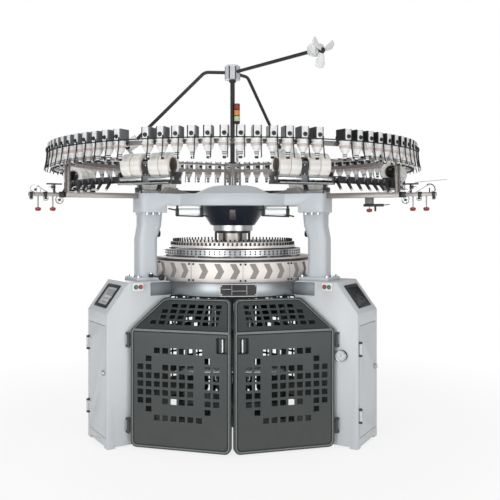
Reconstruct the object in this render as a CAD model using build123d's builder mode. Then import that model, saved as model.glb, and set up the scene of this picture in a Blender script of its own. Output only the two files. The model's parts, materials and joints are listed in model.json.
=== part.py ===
from build123d import *
from math import cos, hypot, pi, radians, sin, sqrt, tan
import os

os.makedirs("parts", exist_ok=True)

# Clearances
fit = 0.05
gap = 0.3
seam = 2.0

# Legs, bed and columns, seen from the machine axis
leg_count = 3
rear_azimuth = 90
left_azimuth = rear_azimuth + 360 / leg_count
right_azimuth = rear_azimuth - 360 / leg_count
bed_radius = 545
bed_bottom = 862
bed_height = 78
bed_wall = 20
bed_floor = 12
bed_roof = 15
bed_bore = 385
bed_roof_bore = 425
lobe_width = 250
lobe_end = 715
bed_top = bed_bottom + bed_height

leg_start = 560
leg_depth = 140
leg_width = 220
leg_wall = 18
leg_foot = 80

beam_width = 120
hub_radius = 150
boss_radius = 70
boss_height = 40

column_radius = 610
column_width = 121
column_corner = 34
column_foot = 190
column_foot_height = 22
column_step = 15
column_flare = 34
column_step_low = 1190
column_step_high = 1269
column_top = 1349

bolt_radius = 9
bolt_height = 12
bolt_inset = 16

# Crown casting and what hangs under it
crown_radius = 430
crown_bottom = 1393
crown_top = 1465
crown_hump_radius = 285
crown_hump_height = 62
crown_hump_flat = 90
crown_arm_width = 180
crown_arm_end = 668
crown_arm_low_start = 505
crown_arm_corner = 40

dome_top_radius = 228
dome_bottom_radius = 143
dome_bottom = 1271
dome_wall = 10
collar_radius = 130
collar_height = 35
black_ring_radius = 118
black_ring_height = 15
drum_radius = 92
drum_wall = 14
post_radius = 8
post_circle = 108
post_count = 6

lamp_length = 170
lamp_radius = 19
lamp_drop = 38
lamp_centre = (262, 285)
lamp_foot_radius = 7
lamp_holder_length = 20

# Knitting head
cylinder_radius = 381
cylinder_wall = 21
cylinder_top = 1088
gear_teeth = 150
pinion_teeth = 18
gear_module = 6
gear_height = 28
gear_bore = 360
cam_radius = 502
cam_bore = 396
cam_base_bore = 430
cam_height = 140
cam_wall = 16
cam_base = 15
cam_roof = 20
rim_reach = 6
rim_height = 14
rim_drop = 8
carrier_outer = 437
carrier_inner = 415
carrier_lift = 10
carrier_height = 37
carrier_feet = 12
carrier_foot = (12, 20)
carrier_holes = 90
carrier_hole = 4
dial_radius = 378
dial_lift = 4
dial_thickness = 26
dial_shaft_radius = 30
dial_cam_radius = 403
dial_cam_bottom = 1135
dial_cam_plate = 15
dial_cam_step = 20
dial_cam_step_radius = 388
dial_cam_bore = 45
adjuster_count = 90
adjuster_radius = 5
adjuster_height = 17

# Drive and take-down
drive_radius = (gear_teeth + pinion_teeth) * gear_module / 2
shaft_radius = 20
shaft_bottom = 400
shaft_boss_radius = 32
shaft_boss_length = 100
drive_pulley_radius = 75
motor_pulley_radius = 40
pulley_height = 34
pulley_flange = 3
pulley_rim = 5
pulley_bottom = 420
belt_side = 0.5
belt_thickness = 5
motor_radius = 80
motor_length = 250
motor_reach = 300
motor_shaft_radius = 14
motor_plate = 12

takedown_ring_bore = 350
takedown_ring_radius = 380
takedown_ring_height = 40
takedown_floor = 30
takedown_plate = 16
takedown_reach = 348
takedown_depth = 300
nip_radius = 30
nip_height = 560
nip_split = 4
bar_radius = 32
bar_height = 330
journal_radius = 12
pivot_radius = 30

# Leg cabinets
cabinet_width = 330
cabinet_start = 524
cabinet_end = 915
cabinet_shoulder = 785
cabinet_slope_bottom = 770
cabinet_bottom = 12
cabinet_sheet = 4
cabinet_top = bed_top + cabinet_sheet
cabinet_foot = 50
cabinet_door_width = 270
cabinet_door_low = 60
cabinet_door_high = 700
cabinet_hinge_inset = 100
cabinet_hinge_reach = 6
cabinet_hinge_leaf = 40
window_length = 150
window_width = 190
window_rim = 16
window_rim_height = 6
pane_thickness = 4
lock_radius = 14

# Safety doors
hinge_station = 795
hinge_stand = 25
door_yaw = 15.5
door_split = 20
door_bottom = 12
door_fold = 680
roof_run = 150
roof_rise = 172
door_sheet = 4
door_depth = 26
door_rim = 14
door_corner = 36
hinge_pin = 4
knuckle_radius = 9
knuckle_height = 60
knuckle_levels = (100, 590)
lug_height = 12
window_pitch = (50, 47.5)
window_size = (36, 33)
window_start = (72, 188)
roof_window_pitch = (52.4, 39)
roof_window_size = (38, 27)
roof_window_start = (135, 56)
handle_size = (62, 84)
handle_inset = 50
handle_drop = 71
handle_bar = 6

# Operator pieces on the flanks
button_box = (62, 45, 20)
button_station = 733
button_level = 918
button_radius = 9
button_reach = 7
button_travel = 4
button_spread = 28
gauge_station = 821
gauge_level = 529
gauge_radius = 32
gauge_depth = 24
gauge_bezel = 4
pointer_length = 20
pointer_tail = 6
pointer_hub = 3
pointer_half_width = 2
pointer_half_tip = 0.6
pointer_thickness = 2
lever_station = 607
lever_offset = 78
lever_length = 149
lever_rod = 5
lever_ball = 19
lever_hub = 14
lever_hub_height = 20
lever_pin = 5

# Yarn feed above the crown
arm_width = 60
arm_height = 30
arm_tail = 17
upright_radius = 10
upright_spread = 22
feeder_radius = 1137
feeder_rail_gap = 3
feeder_rail_width = 18
feeder_rail_bottom = 1687
feeder_rail_height = 24
front_feeders = 12
feeder_pitch = 4
side_feeders = 76
side_start = 30.5
feeder_width = 46
feeder_depth = 62
feeder_height = 60
feeder_nose = 16
feeder_inset = 4
feeder_corner = 6
knob_radius = 9
knob_length = 10
wheel_radius = 32
wheel_drum = 41
wheel_neck = 10
wheel_length = 62
feeder_rail_outer = feeder_radius - wheel_radius - feeder_rail_gap
feeder_rail_inner = feeder_rail_outer - feeder_rail_width
upright_station = feeder_rail_inner + feeder_rail_width / 2
arm_end = upright_station + arm_tail
lever_reach = 40
stop_lever_seat = 14
stop_lever_inset = 3
stop_lever_thickness = 6
stop_lever_width = 5
guide_setback = 54
guide_radius = feeder_rail_inner - guide_setback
guide_width = 24
guide_bottom = 1500
guide_height = 36
guide_spans = ((181.5, 235.8), (299.6, 332.1), (65.0, 115.0))
guide_pitch = 4
guide_arm_drop = 74
guide_arm_reach = 44
guide_arm_width = 8
guide_arm_root = 4
guide_arm_tip = 10

# Roller feeders for elastane
unit_azimuths = (245.3, 290.1, 172.0, 341.5, 55.5, 124.5)
unit_length = 320
unit_width = 104
unit_plate = 8
unit_rise = 62
roller_radius = 15
roller_spread = 38
roller_level = 1517
unit_floor = 1490
gearbox_width = 40
gearbox_height = 118
gearbox_depth = 78
unit_corner = 12
tab_length = 30
package_radius = 65
package_bore = 38
package_width = 58
package_corner = 5

# Top mast, signal lamp and fans
spider_level = 1654
spider_height = 12
spider_bar = 26
spider_hub = 72
spider_clamp_wall = (6, 4)
stud_radius = 7
stud_circle = 56
post_plate = 14
post_plate_reach = 12
post_collar_reach = 7
post_collar_height = 16
fan_post_radius = 15
fan_post_top = 2252
fan_hub_radius = 50
fan_hub_bottom = 2214
fan_hub_top = 2310
fan_hub_sides = 8
fan_hub_chamfer = 14
fan_arm_bend = 60
fan_arm_radius = 11
fan_arm_knee = 180
fan_arm_level = 2262
fan_station = 640
fan_level = 1800
long_arm_station = 740
long_arm_level = 2275
fan_azimuths = (185, 56)
long_arm_azimuth = -50
motor_can_radius = 36
motor_can_length = 70
fan_shaft = 5
fan_hub = 17
fan_hub_length = 26
fan_blades = 3
fan_radius = 100
blade_thickness = 4
blade_width = 50
blade_twist = 25
blade_root = 12
blade_corner = 14
fan_tilt = 35
signal_station = 39
signal_azimuth = -40
signal_radius = 18.5
signal_bottom = 1942
signal_lens = 38
signal_pole = 8
signal_seam = 2

# Brackets at the arm ends: station past the arm, level, radius and width of each round part
bracket_reach = 205
bracket_bar = (12, 22)
bracket_rounds = (
    (166, 26, 31, 8),
    (30, -30, 24, 14),
    (108, -22, 16, 20),
    (190, -20, 12, 24),
    (66, 42, 14, 26),
)
bracket_knobs = ((70, 7), (150, -6))
bracket_stem = (4, 62)
bracket_knob = (17, 20)
bracket_stand = (10, 20, 45)
bracket_stand_station = 60
bracket_table = (90, 24, 10)


def place(azimuth, station=0, offset=0, level=0, turn=0):
    """A location seen from the axis: outward, sideways and up, turned with its azimuth."""
    direction = radians(azimuth)
    x = station * cos(direction) - offset * sin(direction)
    y = station * sin(direction) + offset * cos(direction)
    return Location((x, y, level), (0, 0, azimuth + turn))


def upright_plane(azimuth):
    """The plane through the axis at that azimuth, with X outward and Y up."""
    direction = radians(azimuth)
    return Plane(
        origin=(0, 0, 0),
        x_dir=(cos(direction), sin(direction), 0),
        z_dir=(sin(direction), -cos(direction), 0),
    )


def save(builder, name):
    """Label the finished piece and write it."""
    builder.part.label = name
    export_step(builder.part, f"parts/{name}.step")


def ring_profile(inner, outer, low, high):
    """A rectangle in the radius-height plane, ready to be revolved."""
    with Locations(((inner + outer) / 2, (low + high) / 2)):
        Rectangle(outer - inner, high - low)


# Base beams with the centre bearing of the take-down
with BuildPart() as base_frame:
    Cylinder(hub_radius, leg_foot, align=(Align.CENTER, Align.CENTER, Align.MIN))
    with PolarLocations(0, leg_count, start_angle=rear_azimuth):
        Box(leg_start, beam_width, leg_foot, align=(Align.MIN, Align.CENTER, Align.MIN))
    with Locations((0, 0, leg_foot)):
        Cylinder(boss_radius, boss_height, align=(Align.CENTER, Align.CENTER, Align.MIN))
    with Locations((0, 0, leg_foot + boss_height)):
        Hole(pivot_radius + fit, depth=boss_height)
save(base_frame, "base_frame")

# Cast legs, open inwards and outwards
with BuildPart() as one_leg:
    with Locations((leg_start, 0, 0)):
        Box(leg_depth, leg_width, bed_bottom, align=(Align.MIN, Align.CENTER, Align.MIN))
    with Locations((leg_start, 0, leg_foot)):
        Box(
            leg_depth,
            leg_width - 2 * leg_wall,
            bed_bottom - leg_foot - leg_wall,
            align=(Align.MIN, Align.CENTER, Align.MIN),
            mode=Mode.SUBTRACT,
        )
with BuildPart() as leg_castings:
    with PolarLocations(0, leg_count, start_angle=rear_azimuth):
        add(one_leg.part)
save(leg_castings, "leg_castings")

# Bed ring: outer wall, bearing floor and roof, with a lobe under each column
pocket_radius = (pinion_teeth / 2 + 1) * gear_module + 4
with BuildPart() as bed_ring:
    with BuildSketch(Plane.XZ) as bed_section:
        ring_profile(bed_radius - bed_wall, bed_radius, bed_bottom, bed_top)
        ring_profile(bed_bore, bed_radius, bed_bottom, bed_bottom + bed_floor)
        ring_profile(bed_roof_bore, bed_radius, bed_top - bed_roof, bed_top)
    revolve(axis=Axis.Z)
    bed_channel = bed_radius - bed_wall / 2
    with PolarLocations(bed_channel, leg_count, start_angle=rear_azimuth):
        with Locations((0, 0, bed_bottom)):
            Box(
                lobe_end - bed_channel,
                lobe_width,
                bed_height,
                align=(Align.MIN, Align.CENTER, Align.MIN),
            )
    with Locations(place(right_azimuth, drive_radius, 0, bed_bottom + bed_floor)):
        Cylinder(
            pocket_radius,
            bed_height - bed_floor - bed_roof,
            align=(Align.CENTER, Align.CENTER, Align.MIN),
            mode=Mode.SUBTRACT,
        )
    with Locations(place(right_azimuth, drive_radius, 0, bed_bottom)):
        Cylinder(
            shaft_boss_radius,
            shaft_boss_length,
            align=(Align.CENTER, Align.CENTER, Align.MAX),
        )
    with Locations(place(right_azimuth, drive_radius, 0, bed_bottom + bed_floor)):
        Cylinder(
            shaft_radius + fit,
            shaft_boss_length + bed_floor,
            align=(Align.CENTER, Align.CENTER, Align.MAX),
            mode=Mode.SUBTRACT,
        )
save(bed_ring, "bed_ring")

# Columns: a foot plate, a straight shank, a step on the outer face and a flare inwards
column_inner = column_radius - column_width / 2
column_outer = column_radius + column_width / 2
with BuildPart() as one_column:
    with BuildSketch(Plane.XZ.offset(-column_width / 2)) as column_side:
        with BuildLine():
            Polyline(
                (column_inner, bed_top),
                (column_outer, bed_top),
                (column_outer, column_step_low),
                (column_outer - column_step, column_step_high),
                (column_outer - column_step, column_top),
                (column_inner - column_flare, column_top),
                (column_inner - column_flare * 0.8, column_step_high),
                (column_inner, column_step_low),
                close=True,
            )
        make_face()
    extrude(amount=column_width)
    side_edges = one_column.edges().filter_by(Axis.X, reverse=True).filter_by(Axis.Y, reverse=True)
    fillet(side_edges, column_corner)
    with Locations((column_radius, 0, bed_top)):
        Box(
            column_foot,
            column_foot,
            column_foot_height,
            align=(Align.CENTER, Align.CENTER, Align.MIN),
        )
with BuildPart() as columns:
    with PolarLocations(0, leg_count, start_angle=rear_azimuth):
        add(one_column.part)
save(columns, "columns")

# Crown: a drum with a domed middle and an arm over each column
with BuildPart() as crown:
    with BuildSketch(Plane.XZ) as crown_section:
        with BuildLine():
            Line((0, crown_bottom), (crown_radius, crown_bottom))
            Line((crown_radius, crown_bottom), (crown_radius, crown_top))
            Line((crown_radius, crown_top), (crown_hump_radius, crown_top))
            Spline(
                (crown_hump_radius, crown_top),
                (crown_hump_flat, crown_top + crown_hump_height),
                tangents=((-1, 0.15), (-1, 0)),
            )
            Line(
                (crown_hump_flat, crown_top + crown_hump_height),
                (0, crown_top + crown_hump_height),
            )
            Line((0, crown_top + crown_hump_height), (0, crown_bottom))
        make_face()
    revolve(axis=Axis.Z)
    with BuildSketch(Plane.XY.offset(crown_bottom)) as arm_plan:
        with PolarLocations(0, leg_count, start_angle=rear_azimuth):
            with Locations((crown_arm_end / 2, 0)):
                Rectangle(crown_arm_end, crown_arm_width)
        arm_tips = arm_plan.vertices().filter_by(
            lambda v: hypot(v.X, v.Y) > crown_arm_end
        )
        fillet(arm_tips, crown_arm_corner)
    extrude(amount=crown_top - crown_bottom)
    with BuildSketch(Plane.XY.offset(column_top)) as block_plan:
        with PolarLocations(0, leg_count, start_angle=rear_azimuth):
            with Locations(((crown_arm_low_start + crown_arm_end) / 2, 0)):
                Rectangle(crown_arm_end - crown_arm_low_start, crown_arm_width)
        block_tips = block_plan.vertices().filter_by(
            lambda v: hypot(v.X, v.Y) > crown_arm_end
        )
        fillet(block_tips, crown_arm_corner)
    extrude(amount=crown_bottom - column_top)
    with Locations((0, 0, crown_bottom)):
        Cylinder(
            dial_shaft_radius + fit,
            crown_top - crown_bottom,
            align=(Align.CENTER, Align.CENTER, Align.MIN),
            mode=Mode.SUBTRACT,
        )
save(crown, "crown")

# Dome under the crown
dial_shaft_clear = dial_shaft_radius + gap
with BuildPart() as dial_dome:
    with BuildSketch(Plane.XZ) as dome_section:
        with BuildLine():
            Polyline(
                (dial_shaft_clear, dome_bottom),
                (dome_bottom_radius, dome_bottom),
                (dome_top_radius, crown_bottom),
                (dome_top_radius - 2 * dome_wall, crown_bottom),
                (dome_bottom_radius - 2 * dome_wall, dome_bottom + dome_wall),
                (dial_shaft_clear, dome_bottom + dome_wall),
                close=True,
            )
        make_face()
    revolve(axis=Axis.Z)
save(dial_dome, "dial_dome")

# Collar under the dome, with its black ring and the posts down to the dial cams
collar_bottom = dome_bottom - collar_height
ring_bottom = collar_bottom - black_ring_height
dial_cam_top = dial_cam_bottom + dial_cam_plate + dial_cam_step
with BuildPart() as dome_collar:
    with BuildSketch(Plane.XZ) as collar_section:
        ring_profile(dial_shaft_clear, collar_radius, collar_bottom, dome_bottom)
        ring_profile(dial_shaft_clear, black_ring_radius, ring_bottom, collar_bottom)
    revolve(axis=Axis.Z)
    with PolarLocations(post_circle, post_count):
        with Locations((0, 0, dial_cam_top)):
            Cylinder(
                post_radius,
                ring_bottom - dial_cam_top,
                align=(Align.CENTER, Align.CENTER, Align.MIN),
            )
save(dome_collar, "dome_collar")

# Dial cam ring with the pale drum that hangs it from the collar
with BuildPart() as dial_cam_ring:
    with BuildSketch(Plane.XZ) as dial_cam_section:
        plate_top = dial_cam_bottom + dial_cam_plate
        ring_profile(dial_cam_bore, dial_cam_radius, dial_cam_bottom, plate_top)
        ring_profile(dial_cam_bore, dial_cam_step_radius, plate_top, dial_cam_top)
        ring_profile(drum_radius - drum_wall, drum_radius, dial_cam_top, ring_bottom)
    revolve(axis=Axis.Z)
save(dial_cam_ring, "dial_cam_ring")

# Adjusters standing on both steps of the dial cam ring
with BuildPart() as one_adjuster:
    Cylinder(adjuster_radius, adjuster_height, align=(Align.CENTER, Align.CENTER, Align.MIN))
adjuster_turn = 180 / adjuster_count
step_circle = dial_cam_step_radius - adjuster_radius - 1
rim_circle = (dial_cam_radius + dial_cam_step_radius) / 2
with BuildPart() as dial_adjusters:
    with PolarLocations(step_circle, adjuster_count):
        with Locations((0, 0, dial_cam_top)):
            add(one_adjuster.part, clean=False)
    with PolarLocations(rim_circle, adjuster_count, start_angle=adjuster_turn):
        with Locations((0, 0, dial_cam_bottom + dial_cam_plate)):
            add(one_adjuster.part, clean=False)
save(dial_adjusters, "dial_adjusters")

# Needle dial on its shaft, up into the crown
dial_bottom = cylinder_top + dial_lift
with BuildPart() as needle_dial:
    with Locations((0, 0, dial_bottom)):
        Cylinder(dial_radius, dial_thickness, align=(Align.CENTER, Align.CENTER, Align.MIN))
        Cylinder(
            dial_shaft_radius,
            crown_top - dial_bottom,
            align=(Align.CENTER, Align.CENTER, Align.MIN),
        )
save(needle_dial, "needle_dial")

# Ring gear, running on the bearing floor of the bed
gear_bottom = bed_bottom + bed_floor + gap
gear_top = gear_bottom + gear_height


def tooth_profile(teeth, start):
    """Straight-sided teeth round a gear, narrow enough to run with play."""
    pitch_radius = teeth * gear_module / 2
    root = pitch_radius - 1.3 * gear_module
    tip = pitch_radius + 0.75 * gear_module
    half_root = 0.30 * pi * gear_module
    half_tip = 0.13 * pi * gear_module
    with BuildSketch(mode=Mode.PRIVATE) as tooth:
        with BuildLine():
            Polyline(
                (root - gear_module, -half_root),
                (root, -half_root),
                (tip, -half_tip),
                (tip, half_tip),
                (root, half_root),
                (root - gear_module, half_root),
                close=True,
            )
        make_face()
    Circle(root)
    with PolarLocations(0, teeth, start_angle=start):
        add(tooth.sketch)


with BuildPart() as ring_gear:
    with BuildSketch(Plane.XY.offset(gear_bottom)) as ring_teeth:
        tooth_profile(gear_teeth, right_azimuth)
        Circle(gear_bore, mode=Mode.SUBTRACT)
    extrude(amount=gear_height)
save(ring_gear, "ring_gear")

# Needle cylinder, bolted on the ring gear
with BuildPart() as needle_cylinder:
    with BuildSketch(Plane.XY.offset(gear_top)) as cylinder_plan:
        Circle(cylinder_radius)
        Circle(cylinder_radius - cylinder_wall, mode=Mode.SUBTRACT)
    extrude(amount=cylinder_top - gear_top)
save(needle_cylinder, "needle_cylinder")

# Cam ring on the bed, with a black rim round its top
cam_top = bed_top + cam_height
with BuildPart() as cam_ring:
    with BuildSketch(Plane.XZ) as cam_section:
        ring_profile(cam_base_bore, cam_radius, bed_top, bed_top + cam_base)
        ring_profile(cam_radius - cam_wall, cam_radius, bed_top, cam_top)
        ring_profile(cam_bore, cam_radius, cam_top - cam_roof, cam_top)
        rim_top = cam_top - rim_drop
        ring_profile(cam_radius - 1, cam_radius + rim_reach, rim_top - rim_height, rim_top)
    revolve(axis=Axis.Z)
save(cam_ring, "cam_ring")

# Yarn carrier ring on short feet, with two rows of yarn holes
carrier_bottom = cam_top + carrier_lift
carrier_middle = (carrier_outer + carrier_inner) / 2
with BuildPart() as carrier_ring:
    with BuildSketch(Plane.XZ) as carrier_section:
        ring_profile(carrier_inner, carrier_outer, carrier_bottom, carrier_bottom + carrier_height)
    revolve(axis=Axis.Z)
    with PolarLocations(carrier_middle, carrier_feet):
        with Locations((0, 0, cam_top)):
            Box(*carrier_foot, carrier_lift, align=(Align.CENTER, Align.CENTER, Align.MIN))
    for row in (0.3, 0.7):
        with PolarLocations(carrier_middle, carrier_holes):
            with Locations(Location((0, 0, carrier_bottom + row * carrier_height), (0, 90, 0))):
                Cylinder(carrier_hole, 2 * (carrier_outer - carrier_inner), mode=Mode.SUBTRACT)
save(carrier_ring, "carrier_ring")

# Drive shaft with its pinion and pulley, in the boss of the bed
pulley_top = pulley_bottom + pulley_height


def pulley(radius):
    """A flat belt pulley with a flange at each edge."""
    with Locations((0, 0, pulley_bottom)):
        Cylinder(radius, pulley_height, align=(Align.CENTER, Align.CENTER, Align.MIN))
    for level in (pulley_bottom, pulley_top - pulley_flange):
        with Locations((0, 0, level)):
            Cylinder(
                radius + pulley_rim,
                pulley_flange,
                align=(Align.CENTER, Align.CENTER, Align.MIN),
            )


with BuildPart() as upright_shaft:
    with BuildSketch(Plane.XY.offset(gear_bottom)) as pinion_plan:
        tooth_profile(pinion_teeth, right_azimuth + 180 + 180 / pinion_teeth)
    extrude(amount=gear_height)
    with Locations((0, 0, shaft_bottom)):
        Cylinder(
            shaft_radius,
            gear_bottom - shaft_bottom,
            align=(Align.CENTER, Align.CENTER, Align.MIN),
        )
    pulley(drive_pulley_radius)
with BuildPart() as drive_shaft:
    drive_place = place(right_azimuth, drive_radius)
    with Locations(drive_place.position):
        add(upright_shaft.part)
save(drive_shaft, "drive_shaft")

# Motor under its plate, bolted to the outer face of the right leg
motor_station = drive_radius + motor_reach
leg_outer = leg_start + leg_depth
motor_plate_bottom = pulley_bottom - 2 * motor_plate
motor_place = place(right_azimuth, motor_station)
with BuildPart() as motor:
    with Locations(place(right_azimuth, leg_outer, 0, motor_plate_bottom)):
        Box(
            motor_station + motor_radius - leg_outer,
            leg_width,
            motor_plate,
            align=(Align.MIN, Align.CENTER, Align.MIN),
        )
    with Locations(place(right_azimuth, motor_station, 0, motor_plate_bottom)):
        Cylinder(
            motor_radius,
            motor_length,
            align=(Align.CENTER, Align.CENTER, Align.MAX),
        )
    with Locations(place(right_azimuth, motor_station, 0, motor_plate_bottom + motor_plate)):
        Hole(motor_shaft_radius + fit, depth=4 * motor_plate)
save(motor, "motor")

with BuildPart() as motor_pulley:
    with Locations(motor_place.position):
        pulley(motor_pulley_radius)
    with Locations((motor_place.position.X, motor_place.position.Y, pulley_bottom)):
        Cylinder(
            motor_shaft_radius,
            4 * motor_plate,
            align=(Align.CENTER, Align.CENTER, Align.MAX),
        )
save(motor_pulley, "motor_pulley")

# Drive belt round both pulleys
belt_bottom = pulley_bottom + pulley_flange + belt_side
belt_width = pulley_height - 2 * pulley_flange - 2 * belt_side


def belt_outline(reach):
    """The hull of the two pulleys, that much larger all round."""
    with Locations((drive_radius, 0)):
        Circle(drive_pulley_radius + reach)
    with Locations((motor_station, 0)):
        Circle(motor_pulley_radius + reach)
    make_hull()


with BuildSketch() as belt_inside:
    belt_outline(gap)
with BuildPart() as drive_belt:
    with BuildSketch(Plane(place(right_azimuth, 0, 0, belt_bottom))):
        belt_outline(gap + belt_thickness)
        add(belt_inside.sketch, mode=Mode.SUBTRACT)
    extrude(amount=belt_width)
save(drive_belt, "drive_belt")

# Take-down frame under the ring gear, turning on the centre bearing
takedown_low = leg_foot + boss_height + gap
plate_middle = takedown_reach - takedown_plate / 2
roller_places = (
    (nip_radius + nip_split / 2, nip_height),
    (-nip_radius - nip_split / 2, nip_height),
    (0, bar_height),
)
with BuildPart() as takedown_frame:
    with BuildSketch(Plane.XZ) as takedown_section:
        takedown_ring_low = gear_bottom - takedown_ring_height
        ring_profile(takedown_ring_bore, takedown_ring_radius, takedown_ring_low, gear_bottom)
    revolve(axis=Axis.Z)
    with Locations((-plate_middle, 0, takedown_low), (plate_middle, 0, takedown_low)):
        Box(
            takedown_plate,
            takedown_depth,
            takedown_ring_low + takedown_ring_height / 2 - takedown_low,
            align=(Align.CENTER, Align.CENTER, Align.MIN),
        )
    with Locations((0, 0, takedown_low)):
        Box(
            2 * takedown_reach,
            takedown_depth,
            takedown_floor,
            align=(Align.CENTER, Align.CENTER, Align.MIN),
        )
        Cylinder(
            pivot_radius,
            boss_height,
            align=(Align.CENTER, Align.CENTER, Align.MAX),
        )
    for side, level in roller_places:
        with Locations(Location((0, side, level), (0, 90, 0))):
            Cylinder(journal_radius + fit, 3 * takedown_reach, mode=Mode.SUBTRACT)
save(takedown_frame, "takedown_frame")

# Rollers between the plates of the take-down
roller_run = 2 * (takedown_reach - takedown_plate - gap)
for name, radius, (side, level) in (
    ("nip_roller_front", nip_radius, roller_places[1]),
    ("nip_roller_back", nip_radius, roller_places[0]),
    ("take_up_bar", bar_radius, roller_places[2]),
):
    with BuildPart(Plane(origin=(0, side, level), x_dir=(0, 1, 0), z_dir=(1, 0, 0))) as roller:
        Cylinder(radius, roller_run)
        Cylinder(journal_radius, 2 * takedown_reach)
    save(roller, name)

# Leg cabinets: bent sheet, open below and towards the machine axis
half_cabinet = cabinet_width / 2
slope_run = cabinet_end - cabinet_shoulder
slope_fall = cabinet_top - cabinet_slope_bottom
window_plane = Plane(
    origin=((cabinet_end + cabinet_shoulder) / 2, 0, (cabinet_top + cabinet_slope_bottom) / 2),
    x_dir=(0, 1, 0),
    z_dir=(slope_fall, 0, slope_run),
)
pane_width = window_width - 2 * window_rim
pane_length = window_length - 2 * window_rim


def cabinet_outline():
    """The side view of a cabinet: a box with its outer top corner cut to a slope."""
    Polygon(
        (cabinet_start, cabinet_bottom),
        (cabinet_end, cabinet_bottom),
        (cabinet_end, cabinet_slope_bottom),
        (cabinet_shoulder, cabinet_top),
        (cabinet_start, cabinet_top),
        align=None,
    )


with BuildPart() as one_cabinet:
    with BuildSketch(Plane.XZ.offset(-half_cabinet)) as cabinet_side:
        cabinet_outline()
    extrude(amount=cabinet_width)
    with BuildSketch(Plane.XZ.offset(cabinet_sheet - half_cabinet)) as cabinet_hollow:
        cabinet_outline()
        offset(amount=-cabinet_sheet, kind=Kind.INTERSECTION, mode=Mode.REPLACE)
        with Locations((cabinet_start, cabinet_bottom)):
            Rectangle(
                4 * cabinet_sheet,
                cabinet_top - cabinet_bottom - cabinet_sheet,
                align=(Align.CENTER, Align.MIN),
            )
            Rectangle(
                cabinet_end - cabinet_start - cabinet_sheet,
                4 * cabinet_sheet,
                align=(Align.MIN, Align.CENTER),
            )
    extrude(amount=cabinet_width - 2 * cabinet_sheet, mode=Mode.SUBTRACT)
    with BuildSketch(window_plane) as window_frame:
        Rectangle(window_width, window_length)
    extrude(amount=window_rim_height)
    with BuildSketch(window_plane) as window_hole:
        Rectangle(pane_width, pane_length)
    extrude(amount=2 * window_rim_height, both=True, mode=Mode.SUBTRACT)
    with Locations((cabinet_end, 0, cabinet_door_low)):
        Box(
            4 * cabinet_sheet,
            cabinet_door_width,
            cabinet_door_high - cabinet_door_low,
            align=(Align.CENTER, Align.CENTER, Align.MIN),
            mode=Mode.SUBTRACT,
        )
    with Locations((0, 0, bed_bottom - cabinet_door_low / 6)):
        Cylinder(
            bed_radius + seam,
            cabinet_top,
            align=(Align.CENTER, Align.CENTER, Align.MIN),
            mode=Mode.SUBTRACT,
        )
    with Locations((column_radius, 0, cabinet_top)):
        Box(column_foot + seam, column_foot + seam, 4 * cabinet_sheet, mode=Mode.SUBTRACT)
    foot_row = half_cabinet - cabinet_foot / 2
    foot_stations = (cabinet_start + cabinet_foot / 2, cabinet_end - cabinet_foot / 2)
    with Locations([(x, y, 0) for x in foot_stations for y in (-foot_row, foot_row)]):
        Box(
            cabinet_foot,
            cabinet_foot,
            cabinet_bottom,
            align=(Align.CENTER, Align.CENTER, Align.MIN),
        )
with BuildPart() as leg_cabinets:
    with PolarLocations(0, leg_count, start_angle=rear_azimuth):
        add(one_cabinet.part)
save(leg_cabinets, "leg_cabinets")

# Window panes of the cabinets, and the glass of the gauge
with BuildPart() as one_pane:
    with BuildSketch(window_plane):
        Rectangle(pane_width - gap, pane_length - gap)
    extrude(amount=pane_thickness)
gauge_side = -half_cabinet
gauge_face = Plane(
    place(right_azimuth, gauge_station, gauge_side, gauge_level, 0) * Location((0, 0, 0), (90, 0, 0))
)
dial_recess = gauge_depth / 4
with BuildPart() as window_panes:
    with PolarLocations(0, leg_count, start_angle=rear_azimuth):
        add(one_pane.part)
    with BuildSketch(gauge_face.offset(gauge_depth - dial_recess / 4)):
        Circle(gauge_radius - gauge_bezel)
    extrude(amount=dial_recess / 4)
save(window_panes, "window_panes")

# Gauge on the right cabinet and its pointer
with BuildPart() as pressure_gauge:
    with BuildSketch(gauge_face):
        Circle(gauge_radius)
    extrude(amount=gauge_depth)
    with BuildSketch(gauge_face.offset(gauge_depth - dial_recess)):
        Circle(gauge_radius - gauge_bezel)
    extrude(amount=2 * dial_recess, mode=Mode.SUBTRACT)
save(pressure_gauge, "pressure_gauge")

with BuildPart() as gauge_pointer:
    with BuildSketch(gauge_face.offset(gauge_depth - dial_recess + gap)):
        Circle(pointer_hub)
        with BuildLine():
            Polyline(
                (-pointer_half_width, -pointer_tail),
                (pointer_half_width, -pointer_tail),
                (pointer_half_tip, pointer_length),
                (-pointer_half_tip, pointer_length),
                close=True,
            )
        make_face()
    extrude(amount=pointer_thickness)
save(gauge_pointer, "gauge_pointer")

# Operator boxes on two flanks, with two push buttons each
button_stroke = button_travel + gap
button_stem = 2 * button_travel
box_long, box_high, box_deep = button_box
operator_sides = (("left", left_azimuth, 1), ("right", right_azimuth, -1))
with BuildPart() as operator_boxes:
    for side_name, azimuth, side in operator_sides:
        with Locations(place(azimuth, button_station, side * half_cabinet, button_level)):
            box_align = Align.MIN if side > 0 else Align.MAX
            Box(box_long, box_deep, box_high, align=(Align.CENTER, box_align, Align.CENTER))
        for shift in (-button_spread / 2, button_spread / 2):
            front = side * (half_cabinet + box_deep)
            with Locations(
                place(azimuth, button_station + shift, front, button_level)
                * Location((0, 0, 0), (90, 0, 0))
            ):
                Cylinder(
                    button_radius + 2 * fit,
                    2 * (button_stem + button_stroke),
                    mode=Mode.SUBTRACT,
                )
save(operator_boxes, "operator_boxes")

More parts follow.
